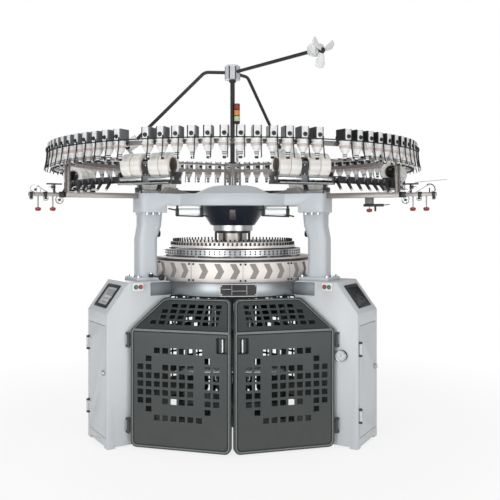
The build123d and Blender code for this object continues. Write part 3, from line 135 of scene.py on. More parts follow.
@dataclass
class Term:
    """One output of a material's nodes, used in sums like a number."""

    surface: "Surface"
    socket: bpy.types.NodeSocket

    def __add__(self, other: "Term | float") -> "Term":
        """This plus other."""
        return self.surface.maths("ADD", self, other)

    def __radd__(self, other: float) -> "Term":
        """Other plus this."""
        return self.surface.maths("ADD", other, self)

    def __sub__(self, other: "Term | float") -> "Term":
        """This less other."""
        return self.surface.maths("SUBTRACT", self, other)

    def __rsub__(self, other: float) -> "Term":
        """Other less this."""
        return self.surface.maths("SUBTRACT", other, self)

    def __mul__(self, other: "Term | float") -> "Term":
        """This times other."""
        return self.surface.maths("MULTIPLY", self, other)

    def __rmul__(self, other: float) -> "Term":
        """Other times this."""
        return self.surface.maths("MULTIPLY", other, self)

    def __truediv__(self, other: "Term | float") -> "Term":
        """This over other."""
        return self.surface.maths("DIVIDE", self, other)


class Surface:
    """A material while its nodes are being joined."""

    edge_radius = 0.003
    edge_bends = (0.03, 0.22)
    edge_cells = 45.0
    edge_breaks = (0.40, 0.62)

    def __init__(self, name: str) -> None:
        """Starts a material.

        Args:
            name: the material's name.
        """
        self.material = bpy.data.materials.new(name)
        self.material.use_nodes = True
        self.tree = self.material.node_tree
        self.shader = self.tree.nodes["Principled BSDF"]

    def node(self, kind: str, settings: dict, inputs: dict) -> bpy.types.Node:
        """Adds a node.

        Args:
            kind: the node's type.
            settings: what is set first, such as an operation, or a ramp's stops.
            inputs: the values or terms of its sockets, by name or place.

        Returns:
            The new node.
        """
        node = self.tree.nodes.new(kind)
        for key, value in settings.items():
            setattr(node, key, value)
        self.feed(node, inputs)
        return node

    def feed(self, node: bpy.types.Node, inputs: dict) -> None:
        """Sets a node's sockets, or links those whose value is a term.

        Args:
            node: the node.
            inputs: the values or terms, by socket name or place.
        """
        for key, value in inputs.items():
            if isinstance(value, Term):
                self.tree.links.new(value.socket, node.inputs[key])
            else:
                node.inputs[key].default_value = value

    def term(self, kind: str, settings: dict, inputs: dict, output: int | str = 0) -> Term:
        """One output of a new node."""
        return Term(self, self.node(kind, settings, inputs).outputs[output])

    def maths(self, operation: str, *values: "Term | float") -> Term:
        """One Math node."""
        return self.term("ShaderNodeMath", {"operation": operation}, dict(enumerate(values)))

    def mix(self, share: "Term | float", first: object, second: object) -> Term:
        """Mixes two colours by a share."""
        return self.term("ShaderNodeMix", {"data_type": "RGBA"}, {0: share, 6: first, 7: second}, 2)

    def tone(self, share: Term, code: str, low: float, high: float) -> Term:
        """A paint code times low where the share is 0, and times high where it is 1."""
        base = Vector(paint_colour(code))
        return self.mix(share, tuple(base * low), tuple(base * high))

    def place(self) -> Term:
        """The point of the surface in the machine's own frame."""
        return self.term("ShaderNodeTexCoord", {}, {}, "Object")

    def split(self, vector: Term) -> tuple[Term, Term, Term]:
        """The three parts of a vector."""
        node = self.node("ShaderNodeSeparateXYZ", {}, {0: vector})
        return tuple(Term(self, socket) for socket in node.outputs)

    def merge(self, *parts: "Term | float") -> Term:
        """A vector of three parts."""
        return self.term("ShaderNodeCombineXYZ", {}, dict(enumerate(parts)))

    def noise(self, scale: float, detail: float = 2.0, where: Term | None = None) -> Term:
        """Soft noise from 0 to 1, scale being its cells in a metre."""
        inputs = {"Vector": where or self.place(), "Scale": scale, "Detail": detail}
        return self.term("ShaderNodeTexNoise", {}, inputs)

    def between(self, value: Term, low: float, high: float) -> Term:
        """0 at low, 1 at high, smooth in between."""
        inputs = {"Value": value, "From Min": low, "From Max": high}
        return self.term("ShaderNodeMapRange", {"interpolation_type": "SMOOTHSTEP"}, inputs)

    def polar(self) -> tuple[Term, Term, Term]:
        """Radius, angle and height about the machine axis."""
        x, y, z = self.split(self.place())
        return self.maths("SQRT", x * x + y * y), self.maths("ARCTAN2", y, x), z

    def edges(self) -> Term:
        """Finds the edges of a piece.

        Returns:
            1 along edges and 0 elsewhere, broken up by noise.
        """
        rounded = self.term("ShaderNodeBevel", {"samples": 4}, {"Radius": self.edge_radius})
        plain = self.term("ShaderNodeNewGeometry", {}, {}, "Normal")
        normals = {0: rounded, 1: plain}
        agree = self.term("ShaderNodeVectorMath", {"operation": "DOT_PRODUCT"}, normals, "Value")
        bend = self.between(1.0 - agree, *self.edge_bends)
        return bend * self.between(self.noise(self.edge_cells, 3.0), *self.edge_breaks)

    def bump(self, height: Term, depth: float, strength: float = 0.4) -> Term:
        """A bumped normal of that depth in metres."""
        inputs = {"Height": height, "Distance": depth, "Strength": strength}
        return self.term("ShaderNodeBump", {}, inputs)

    def finish(self, **values: object) -> bpy.types.Material:
        """Sets the shader's sockets, with spaces written as underscores."""
        self.feed(self.shader, {name.replace("_", " "): value for name, value in values.items()})
        return self.material


@dataclass(frozen=True)
class Paint:
    """Satin machine paint with a fine orange peel, rubbed edges and dust near the floor."""

    code: str
    rubbed: str = "#d6d8d8"
    roughness: float = 0.42
    peel: float = 420.0
    peel_depth: float = 0.0004
    mottle: float = 0.05
    mottle_cells: float = 2.2
    wear: float = 0.35
    dust: float = 0.10
    dust_cells: float = 14.0
    dust_code: str = "#8d8778"
    dust_levels: Pair = (0.02, 0.35)
    gloss_cells: float = 9.0
    coat: float = 0.15
    coat_roughness: float = 0.25

    def over(self, s: Surface, colour: Term) -> Term:
        """The colour with whatever else is painted over it."""
        return colour

    def make(self, s: Surface) -> bpy.types.Material:
        """Joins the finish.

        Args:
            s: the surface to join it on.

        Returns:
            The finished material.
        """
        cloud = s.noise(self.mottle_cells, 4.0)
        colour = s.tone(cloud, self.code, 1 - self.mottle, 1 + self.mottle)
        low = (1.0 - s.between(s.split(s.place())[2], *self.dust_levels)) * self.dust
        dust = low * s.noise(self.dust_cells, 4.0)
        colour = s.mix(dust, colour, paint_colour(self.dust_code))
        colour = s.mix(s.edges() * self.wear, colour, paint_colour(self.rubbed))
        return s.finish(
            Base_Color=self.over(s, colour),
            Roughness=self.roughness - 0.08 + 0.16 * s.noise(self.gloss_cells, 3.0),
            Coat_Weight=self.coat,
            Coat_Roughness=self.coat_roughness,
            Normal=s.bump(s.noise(self.peel), self.peel_depth),
        )


@dataclass(frozen=True)
class LinedPaint(Paint):
    """Cabinet paint whose flanks are dark behind the safety doors, as painted shade of the bays."""

    # The dark colour of the painted shade on the flanks behind the doors.
    lining: str = "#1c1e1f"
    flank: float = HALF_CABINET
    door_station: float = 0.762
    fold: float = 0.680
    rise: float = 0.172
    retreat: float = 0.210
    blend: float = 0.002

    def over(self, s: Surface, colour: Term) -> Term:
        """The paint, with painted shade on the flanks inside the line of the closed doors.

        Args:
            s: the surface that it is joined on.
            colour: the paint's own colour.

        Returns:
            The colour with the painted shade.
        """
        radius, angle, z = s.polar()
        swing = s.maths("WRAP", angle - radians(REAR), pi / 3, -pi / 3)
        station = radius * s.maths("COSINE", swing)
        offset = s.maths("ABSOLUTE", radius * s.maths("SINE", swing))
        leaned = s.maths("MINIMUM", s.maths("MAXIMUM", z - self.fold, 0.0), self.rise) / self.rise
        reach = self.door_station - self.retreat * leaned
        inside = s.between(reach - station, 0.0, self.blend)
        top = self.fold + self.rise
        below = 1.0 - s.between(z, top - 3 * self.blend, top - 2 * self.blend)
        outer = s.between(offset, self.flank - 0.0014, self.flank - 0.0008)
        # Painted shade: the flanks inside the line of the closed doors take the dark shade colour.
        return s.mix(inside * below * outer, colour, paint_colour(self.lining))


class Lay(Enum):
    """The way the tool marks of a metal run, as cells in a metre along each direction."""

    ROUND = (900.0, 3.0, 900.0)
    UPRIGHT = (900.0, 900.0, 12.0)
    LEVEL = (12.0, 12.0, 900.0)
    CAST = ()


@dataclass(frozen=True)
class Metal:
    """Bare metal with tool marks that run one way, or cast grain."""

    code: str
    lay: Lay
    roughness: float = 0.34
    marks: float = 0.10
    metallic: float = 1.0
    depth: float = 0.0003
    stain: str = "#8f8a84"
    stained: float = 0.25
    patch_cells: float = 3.0
    patch_edges: Pair = (0.50, 0.75)
    gloss_cells: float = 6.0
    grain: float = 320.0

    def pattern(self, s: Surface) -> Term:
        """Stretches noise along the tool marks.

        Args:
            s: the surface that it is joined on.

        Returns:
            The noise, from 0 to 1.
        """
        if self.lay is Lay.CAST:
            return s.noise(self.grain, 4.0)
        along = s.polar() if self.lay is Lay.ROUND else s.split(s.place())
        parts = [part * cells for part, cells in zip(along, self.lay.value)]
        return s.noise(1.0, 3.0, s.merge(*parts))

    def make(self, s: Surface) -> bpy.types.Material:
        """Joins the finish.

        Args:
            s: the surface to join it on.

        Returns:
            The finished material.
        """
        marks = self.pattern(s)
        patch = s.between(s.noise(self.patch_cells, 4.0), *self.patch_edges) * self.stained
        rough = self.roughness - self.marks / 2 + self.marks * marks
        return s.finish(
            Base_Color=s.mix(patch, s.tone(marks, self.code, 0.9, 1.08), paint_colour(self.stain)),
            Metallic=self.metallic,
            Roughness=rough + 0.08 * s.noise(self.gloss_cells),
            Normal=s.bump(marks, self.depth, 0.3),
        )


@dataclass(frozen=True)
class Moulded:
    """Moulded plastic or rubber with a spark-eroded grain."""

    code: str
    roughness: float = 0.5
    grain: float = 900.0
    depth: float = 0.0002
    glow: float = 0.0
    cloud_cells: float = 7.0
    gloss_cells: float = 20.0

    def make(self, s: Surface) -> bpy.types.Material:
        """Joins the finish.

        Args:
            s: the surface to join it on.

        Returns:
            The finished material.
        """
        if self.glow:
            s.finish(Emission_Color=paint_colour(self.code), Emission_Strength=self.glow)
        return s.finish(
            Base_Color=s.tone(s.noise(self.cloud_cells, 3.0), self.code, 0.93, 1.05),
            Roughness=self.roughness - 0.06 + 0.12 * s.noise(self.gloss_cells, 3.0),
            Normal=s.bump(s.noise(self.grain), self.depth),
        )


@dataclass(frozen=True)
class Pane:
    """Clear glass or acrylic with faint wipe marks."""

    code: str = "#dfe9ec"
    wiped_code: str = "#ffffff"
    wiped_cells: float = 5.0
    cover: float = 0.22

    def make(self, s: Surface) -> bpy.types.Material:
        """Joins the finish.

        Args:
            s: the surface to join it on.

        Returns:
            The finished material.
        """
        wiped = s.noise(self.wiped_cells, 4.0)
        return s.finish(
            Base_Color=s.mix(wiped, paint_colour(self.code), paint_colour(self.wiped_code)),
            Roughness=0.03 + 0.06 * wiped,
            Alpha=self.cover + 0.06 * wiped,
        )


@dataclass(frozen=True)
class Wound:
    """Yarn wound on a package or a wheel, read from the piece's own unrolled map."""

    code: str
    shade: str
    turns: float
    crossing: float = 0.0
    fuzz_cells: float = 600.0
    depth: float = 0.0012

    def make(self, s: Surface) -> bpy.types.Material:
        """Joins the finish.

        Args:
            s: the surface to join it on.

        Returns:
            The finished material.
        """
        u, v, _ = s.split(s.term("ShaderNodeUVMap", {"uv_map": "unrolled"}, {}))
        one, two = (
            s.maths("SINE", (v * self.turns + u * lean) * tau)
            for lean in (self.crossing, -self.crossing)
        )
        wave = s.maths("MAXIMUM", one, two) * 0.5 + 0.5
        fuzz = s.noise(self.fuzz_cells, 3.0)
        share = s.between(wave, 0.15, 0.7) * (0.75 + 0.25 * fuzz)
        return s.finish(
            Base_Color=s.mix(share, paint_colour(self.shade), paint_colour(self.code)),
            Roughness=0.82 + 0.1 * fuzz,
            Normal=s.bump(wave * 0.7 + fuzz * 0.3, self.depth, 0.5),
        )


@dataclass(frozen=True)
class Grooved:
    """Bright steel cut with upright needle tricks all round."""

    code: str = "#b8b6b2"
    dark: str = "#3a3836"
    tricks: float = 360.0
    band_cells: float = 160.0
    depth: float = 0.001

    def make(self, s: Surface) -> bpy.types.Material:
        """Joins the finish.

        Args:
            s: the surface to join it on.

        Returns:
            The finished material.
        """
        _, angle, z = s.polar()
        share = s.between(s.maths("SINE", angle * self.tricks) * 0.5 + 0.5, 0.25, 0.75)
        band = s.noise(1.0, 2.0, s.merge(0.0, 0.0, z * self.band_cells))
        return s.finish(
            Base_Color=s.mix(share, paint_colour(self.dark), paint_colour(self.code)),
            Metallic=0.9,
            Roughness=0.28 + 0.2 * band,
            Normal=s.bump(share, self.depth, 0.6),
        )


class Along(Enum):
    """What a two-tone finish is split along."""

    RADIUS = 0
    HEIGHT = 2


@dataclass(frozen=True)
class TwoTone:
    """Satin finish with one colour up to a radius or height and another beyond it."""

    near: str
    far: str
    along: Along
    split: float
    metallic: float = 0.0
    blend: float = 0.0003
    cloud_cells: float = 14.0
    grain: float = 500.0
    depth: float = 0.0001

    def make(self, s: Surface) -> bpy.types.Material:
        """Joins the finish.

        Args:
            s: the surface to join it on.

        Returns:
            The finished material.
        """
        where = s.polar()[self.along.value]
        share = s.between(where, self.split - self.blend, self.split + self.blend)
        cloud = s.noise(self.cloud_cells, 3.0)
        near, far = (s.tone(cloud, code, 0.92, 1.06) for code in (self.near, self.far))
        return s.finish(
            Base_Color=s.mix(share, near, far),
            Metallic=share * self.metallic,
            Roughness=0.30 + 0.14 * cloud,
            Normal=s.bump(s.noise(self.grain), self.depth),
        )


class Finish(Enum):
    """Every finish on the machine, named for where it is used."""

    # Casing paint, with painted shade on its flanks behind the safety doors.
    CASING = LinedPaint("#c6cacd", roughness=0.40)
    CASTING = Paint("#c3c9ce", rubbed="#d9dddf", roughness=0.44, peel=150.0, peel_depth=0.0008)
    LEAF = Paint("#2a3030", rubbed="#8e9795", roughness=0.46, mottle=0.09, wear=0.55)
    # Lighter than the leaf paint: the bead's colour is a painted highlight of the pressed edge.
    BEAD = Paint("#7d8684", rubbed="#c4cac8", roughness=0.38, wear=0.6)
    NAVY = Paint("#121a2a", rubbed="#4c566a", roughness=0.35, wear=0.3)
    BLACK_PAINT = Paint("#1e1f22", rubbed="#66686a", roughness=0.42, wear=0.4)
    MOTOR = Paint("#46525e", rubbed="#9aa3aa", roughness=0.5)
    IRON = Metal("#45484a", Lay.CAST, roughness=0.62, metallic=0.5, depth=0.0008)
    BED = Metal("#83888b", Lay.ROUND, roughness=0.30, stained=0.15, stain="#6e7376")
    # A darker copy of the bed steel: painted shade that holds down the bright reflection of the
    # flat cheeks.
    CHEEK = Metal("#6a6f72", Lay.LEVEL, roughness=0.40, metallic=0.75, stain="#565b5e")
    CAM = Metal("#eee8e3", Lay.ROUND, roughness=0.42, metallic=0.55, stain="#cdbdb3", stained=0.35)
    BRIGHT = Metal("#b9bcbe", Lay.ROUND, roughness=0.28)
    PLATED = Metal("#c6c8ca", Lay.LEVEL, roughness=0.22, stained=0.1)
    ALLOY = Metal("#96928f", Lay.LEVEL, roughness=0.38, stain="#9a8479", stained=0.5)
    CYLINDER = Grooved()
    MARK = Moulded("#8f8a86", roughness=0.5)
    BLACK = Moulded("#17181a", roughness=0.45)
    RUBBER = Moulded("#1b1b1c", roughness=0.75, grain=500.0, depth=0.0005)
    WHITE = Moulded("#e4e5e5", roughness=0.38)
    GREY = Moulded("#6c7073", roughness=0.45)
    CERAMIC = Moulded("#f0eee8", roughness=0.15, depth=0.0)
    RED = Moulded("#8c2a2e", roughness=0.32)
    STOP = Moulded("#b5201c", roughness=0.28)
    START = Moulded("#2a8247", roughness=0.28)
    AMBER = Moulded("#d08a3a", roughness=0.2, glow=0.15)
    LENS_RED = Moulded("#8f2d28", roughness=0.2, glow=0.1)
    LENS_GREEN = Moulded("#b9c6a2", roughness=0.2, glow=0.1)
    TUBE = Moulded("#eceff0", roughness=0.25, glow=0.2)
    CARD = Moulded("#6f6860", roughness=0.8, grain=300.0, depth=0.0006)
    GLASS = Pane()
    YARN = Wound("#eeece8", "#cbc6be", 26.0, crossing=6.0)
    STORED = Wound("#efe9e4", "#b59a90", 7.0)
    CARRIER = TwoTone("#c9cdd0", "#1f2124", Along.RADIUS, 0.0525)
    COLLAR = TwoTone("#18191b", "#c6c8ca", Along.HEIGHT, 1.2363, 1.0)

    def material(self) -> bpy.types.Material:
        """The material of this finish, made once."""
        name = f"finish_{self.name.lower()}"
        return bpy.data.materials.get(name) or self.value.make(Surface(name))

    def dress(self, piece: Piece) -> None:
        """Gives a piece this finish alone."""
        piece.data.materials.clear()
        piece.data.materials.append(self.material())


# ---------------------------------------------------------------- modelling


class Choice(Enum):
    """What is selected on a mesh, and where the mesh keeps it."""

    FACE = "polygons"
    EDGE = "edges"


@contextmanager
def editing(everything: bool = True) -> Iterator[None]:
    """Works on the active piece in edit mode.

    Args:
        everything: whether all of it is selected first.

    Yields:
        Once, for the work in edit mode.
    """
    bpy.ops.object.mode_set(mode="EDIT")
    if everything:
        bpy.ops.mesh.select_all(action="SELECT")
    yield
    bpy.ops.object.mode_set(mode="OBJECT")


def pick(*pieces: Piece) -> None:
    """Selects these pieces only, the first one active.

    Args:
        pieces: the pieces, or none.
    """
    bpy.ops.object.select_all(action="DESELECT")
    for piece in pieces:
        piece.select_set(True)
    if pieces:
        bpy.context.view_layer.objects.active = pieces[0]


def choose(piece: Piece, choice: Choice, test: Callable[[object], bool]) -> None:
    """Selects the faces or edges of the active piece that pass a test.

    Args:
        piece: the active piece.
        choice: faces or edges.
        test: what each of them has to pass.
    """
    with editing(everything=False):
        bpy.ops.mesh.select_mode(type=choice.name)
        bpy.ops.mesh.select_all(action="DESELECT")
    for part in getattr(piece.data, choice.value):
        part.select = test(part)


def fix(piece: Piece, finish: Finish) -> Piece:
    """Moves a primitive's place into its mesh and dresses it.

    Args:
        piece: the primitive.
        finish: its finish.

    Returns:
        The same piece.
    """
    pick(piece)
    bpy.ops.object.transform_apply(location=True, rotation=True, scale=True)
    finish.dress(piece)
    return piece


def modify(piece: Piece, kind: str, **settings: object) -> None:
    """Applies one modifier to a piece.

    Args:
        piece: the piece.
        kind: the modifier's type.
        settings: the modifier's settings, by name.
    """
    pick(piece)
    modifier = piece.modifiers.new(kind.lower(), kind)
    for key, value in settings.items():
        setattr(modifier, key, value)
    bpy.ops.object.modifier_apply(modifier=modifier.name)


def soften(piece: Piece, width: float, segments: int = 2, angle: float = 35.0) -> None:
    """Rounds the sharp edges of a piece and shades it smooth.

    Args:
        piece: the piece.
        width: how wide each rounding is.
        segments: its steps.
        angle: the smallest angle that is rounded, in degrees.
    """
    modify(
        piece, "BEVEL", width=width, segments=segments, limit_method="ANGLE",
        angle_limit=radians(angle), use_clamp_overlap=False, miter_outer="MITER_ARC",
    )
    bpy.ops.object.shade_smooth_by_angle(angle=radians(BLOCK_SMOOTH))


def twin(piece: Piece) -> Piece:
    """Copies a piece with its own mesh.

    Args:
        piece: the piece to copy.

    Returns:
        The copy, in the scene.
    """
    copy = piece.copy()
    copy.data = piece.data.copy()
    bpy.context.scene.collection.objects.link(copy)
    return copy


def sheet(
    finish: Finish, size: Pair, middle: Spot, cuts: tuple[int, int] = (),
    tilt: float = 0.0,
) -> Piece:
    """A flat sheet, from a plane or a grid.

    Args:
        finish: its finish.
        size: its size along X and Y.
        middle: its middle.
        cuts: how often a grid is divided along X and Y, or nothing for a plane.
        tilt: its turn about X, in radians.

    Returns:
        The sheet.
    """
    pick()
    place = {"size": 1.0, "location": middle, "rotation": (tilt, 0, 0)}
    if cuts:
        bpy.ops.mesh.primitive_grid_add(x_subdivisions=cuts[0], y_subdivisions=cuts[1], **place)
    else:
        bpy.ops.mesh.primitive_plane_add(**place)
    bpy.context.object.scale = (*size, 1.0)
    return fix(bpy.context.object, finish)


def unroll(piece: Piece) -> None:
    """Gives a turned piece a map of its angle and its height along the profile.

    Args:
        piece: the piece, turned about Z.
    """
    layer = piece.data.uv_layers.new(name="unrolled")
    points = [point.co for point in piece.data.vertices]
    heights = [point.z for point in points]
    low, reach = min(heights), max(heights) - min(heights) or 1.0
    for face in piece.data.polygons:
        start = Vector(face.center).to_2d()
        aside = start.length > NEAR_ZERO
        turn = start.angle_signed(Vector((1.0, 0.0)), 0.0) if aside else 0.0
        for loop in face.loop_indices:
            point = points[piece.data.loops[loop].vertex_index]
            flat = point.to_2d()
            step = start.angle_signed(flat, 0.0) if aside and flat.length > NEAR_ZERO else 0.0
            layer.data[loop].uv = ((turn - step) / tau, (point.z - low) / reach)


def placed(piece: Piece, place: Matrix) -> Piece:
    """Moves a piece's mesh to a place."""
    piece.data.transform(place)
    return piece


class Kit:
    """The parts of one piece, each made from a primitive and put in its place."""

    def __init__(self) -> None:
        """Starts with no parts."""
        self.parts: list[Piece] = []

    def add(self, part: Piece, place: Matrix | None = None) -> Piece:
        """Keeps a part.

        Args:
            part: the part.
            place: where its mesh is moved, if it is.

        Returns:
            The same part.
        """
        self.parts.append(placed(part, place) if place else part)
        return part

    def block(
        self, finish: Finish, size: Spot, middle: Spot = (0, 0, 0), bevel: float = 0.0,
        segments: int = 2, place: Matrix | None = None,
    ) -> Piece:
        """Adds a box with rounded edges.

        Args:
            finish: its finish.
            size: its size along X, Y and Z.
            middle: its middle.
            bevel: how wide its edges are rounded, or 0.
            segments: the steps of each rounded edge.
            place: where its mesh is moved in the end.

        Returns:
            The box.
        """
        pick()
        bpy.ops.mesh.primitive_cube_add(size=1.0, location=middle, scale=size)
        part = fix(bpy.context.object, finish)
        if bevel:
            soften(part, bevel, segments)
        return self.add(part, place)

    def turned(
        self, finish: Finish, profile: Profile, sides: int = 24, place: Matrix | None = None
    ) -> Piece:
        """Adds a part turned about Z, with an unrolled map.

        Args:
            finish: its finish.
            profile: radius and height of each step; one that ends where it starts is a ring.
            sides: the facets round it.
            place: where its mesh is moved in the end.

        Returns:
            The part.
        """
        radius, level = profile[0]
        pick()
        bpy.ops.mesh.primitive_circle_add(vertices=sides, radius=radius, location=(0, 0, level))
        part = fix(bpy.context.object, finish)
        with editing():
            for wide, high in profile[1:]:
                rise, share = (0, 0, high - level), wide / radius
                bpy.ops.mesh.extrude_edges_move(TRANSFORM_OT_translate={"value": rise})
                bpy.ops.transform.resize(value=(share, share, 1.0), center_override=(0, 0, high))
                radius, level = wide, high
            bpy.ops.mesh.select_all(action="SELECT")
            bpy.ops.mesh.remove_doubles(threshold=NEAR_ZERO)
            if profile[0] != profile[-1]:
                bpy.ops.mesh.fill_holes(sides=0)
            bpy.ops.mesh.normals_make_consistent(inside=False)
        unroll(part)
        bpy.ops.object.shade_smooth_by_angle(angle=radians(TURNED_SMOOTH))
        return self.add(part, place)

    def bar(self, finish: Finish, radius: float, start: Spot, end: Spot, sides: int = 12) -> Piece:
        """Adds a round bar with rounded ends.

        Args:
            finish: its finish.
            radius: its radius.
            start: the point where it starts.
            end: the point where it ends.
            sides: the facets round it.

        Returns:
            The bar.
        """
        way = Vector(end) - Vector(start)
        length, rim = way.length, radius * 0.3
        ends = ((radius - rim, 0.0), (radius, rim), (radius, length - rim), (radius - rim, length))
        lean = way.to_track_quat("Z", "Y").to_matrix().to_4x4()
        return self.turned(finish, ends, sides, Matrix.Translation(start) @ lean)

    def cord(self, finish: Finish, points: list[Vector], radius: float, closed: bool) -> Piece:
        """Adds a round rod bent along points, as a mesh.

        Args:
            finish: its finish.
            points: the points of its line.
            radius: its radius.
            closed: whether its end meets its start.

        Returns:
            The rod.
        """
        line = bpy.data.curves.new("line", "CURVE")
        line.dimensions = "3D"
        line.bevel_depth = radius
        line.bevel_resolution = 2
        line.resolution_u = 1
        spline = line.splines.new("POLY")
        spline.points.add(len(points) - 1)
        for point, spot in zip(spline.points, points):
            point.co = (*spot, 1.0)
        spline.use_cyclic_u = closed
        rod = bpy.data.objects.new("rod", line)
        bpy.context.scene.collection.objects.link(rod)
        pick(rod)
        bpy.ops.object.convert(target="MESH")
        fix(bpy.context.object, finish)
        bpy.ops.object.shade_smooth_by_angle(angle=radians(ROD_SMOOTH))
        return self.add(bpy.context.object)

    def join(self, place: Matrix | None = None) -> Piece:
        """Joins the parts into one piece that keeps each part's finish.

        Args:
            place: where its mesh is moved, if it is.

        Returns:
            The joined piece.
        """
        pick(*self.parts)
        bpy.ops.object.join()
        whole = bpy.context.object
        return placed(whole, place) if place else whole


def copies(template: Piece, places: list[Matrix]) -> Piece:
    """Copies a template to each place and joins the copies.

    Args:
        template: the piece to copy, which is used up.
        places: the matrix of each copy.

    Returns:
        The joined piece.
    """
    kit = Kit()
    for place in places:
        kit.add(twin(template), place)
    bpy.data.objects.remove(template)
    return kit.join()


def settle(piece: Piece, name: str, slot: str, *nodes: str, body: str = FRAME_BODY) -> None:
    """Names a finished piece, rides it on its body and hides the nodes that it replaces.

    Args:
        piece: the finished piece.
        name: the name that it keeps.
        slot: the record's material slot; not used.
        nodes: the nodes of the frame that it replaces, if any.
        body: the body that it moves with.
    """
    piece.name = piece.data.name = name
    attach(piece, body)
    if nodes:
        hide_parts(*nodes)
    LOG.info("%s rides on %s with %d faces", name, body, len(piece.data.polygons))


# ---------------------------------------------------------------- the frame's own nodes


@dataclass
class CastAndSheet:
    """Nodes of the frame that keep their shape, with rounded edges where they show."""

    merged: float = 2e-5
    flat: float = 0.4
    rounded: dict[str, tuple[float, Finish, str]] = field(default_factory=lambda: {
        "leg_cabinets": (0.0035, Finish.CASING, "casing_paint"),
        "columns": (0.003, Finish.CASTING, "frame_paint"),
        "crown": (0.005, Finish.CASTING, "frame_paint"),
        "bed_ring": (0.002, Finish.BED, "bed_steel"),
        "cam_ring": (0.0012, Finish.CAM, "cam_metal"),
        **{f"cabinet_door_{leg}": (0.0012, Finish.CASING, "casing_paint") for leg in LEGS},
        "support_arms": (0.0015, Finish.ALLOY, "rail_alloy"),
        "operator_boxes": (0.0009, Finish.WHITE, "white_plastic"),
    })
    kept: dict[Finish, tuple[str, ...]] = field(default_factory=lambda: {
        Finish.LEAF: tuple(f"safety_door_{bay}_{leaf}" for bay in BAYS for leaf in "ab"),
        Finish.IRON: ("base_frame", "leg_castings", "takedown_frame"),
        Finish.NAVY: ("dial_dome",),
        Finish.COLLAR: ("dome_collar",),
        Finish.CAM: ("dial_cam_ring",),
        Finish.BRIGHT: ("carrier_ring", "needle_dial", "ring_gear", "drive_shaft", "motor_pulley"),
        Finish.CYLINDER: ("needle_cylinder",),
        Finish.MOTOR: ("motor",),
        Finish.RUBBER: ("drive_belt", "nip_roller_front", "nip_roller_back"),
        Finish.PLATED: ("take_up_bar", "machine_bolts"),
        Finish.BLACK_PAINT: ("door_hinges", "guide_ring", "fan_post"),
        Finish.ALLOY: ("feeder_ring", "top_spider"),
        Finish.CARRIER: ("fan_frame",),
        Finish.GLASS: ("window_panes",),
        Finish.BLACK: ("dial_adjusters", "hand_lever", "pressure_gauge"),
        Finish.RED: ("gauge_pointer",),
        Finish.STOP: ("stop_button_left", "stop_button_right"),
        Finish.START: ("start_button_left", "start_button_right"),
    })

    def shell(self, source: Piece, width: float, finish: Finish) -> Piece:
        """Copies a node, merges its loose triangles and rounds its edges.

        Args:
            source: the frame's node.
            width: how wide its edges are rounded.
            finish: its finish.

        Returns:
            The rounded copy.
        """
        piece = twin(source)
        piece.parent = None
        for key in list(piece.keys()):
            del piece[key]
        fix(piece, finish)
        with editing():
            bpy.ops.mesh.remove_doubles(threshold=self.merged)
            bpy.ops.mesh.dissolve_limited(angle_limit=radians(self.flat))
        soften(piece, width)
        return piece

    def build(self) -> None:
        """Rounds and dresses the nodes."""
        for node, (width, finish, slot) in self.rounded.items():
            source = frame["nodes"][node]
            shell = self.shell(source, width, finish)
            settle(shell, f"{node}_shell", slot, node, body=source["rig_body"])
        for finish, nodes in self.kept.items():
            for node in nodes:
                finish.dress(frame["nodes"][node])


# ---------------------------------------------------------------- yarn feeders


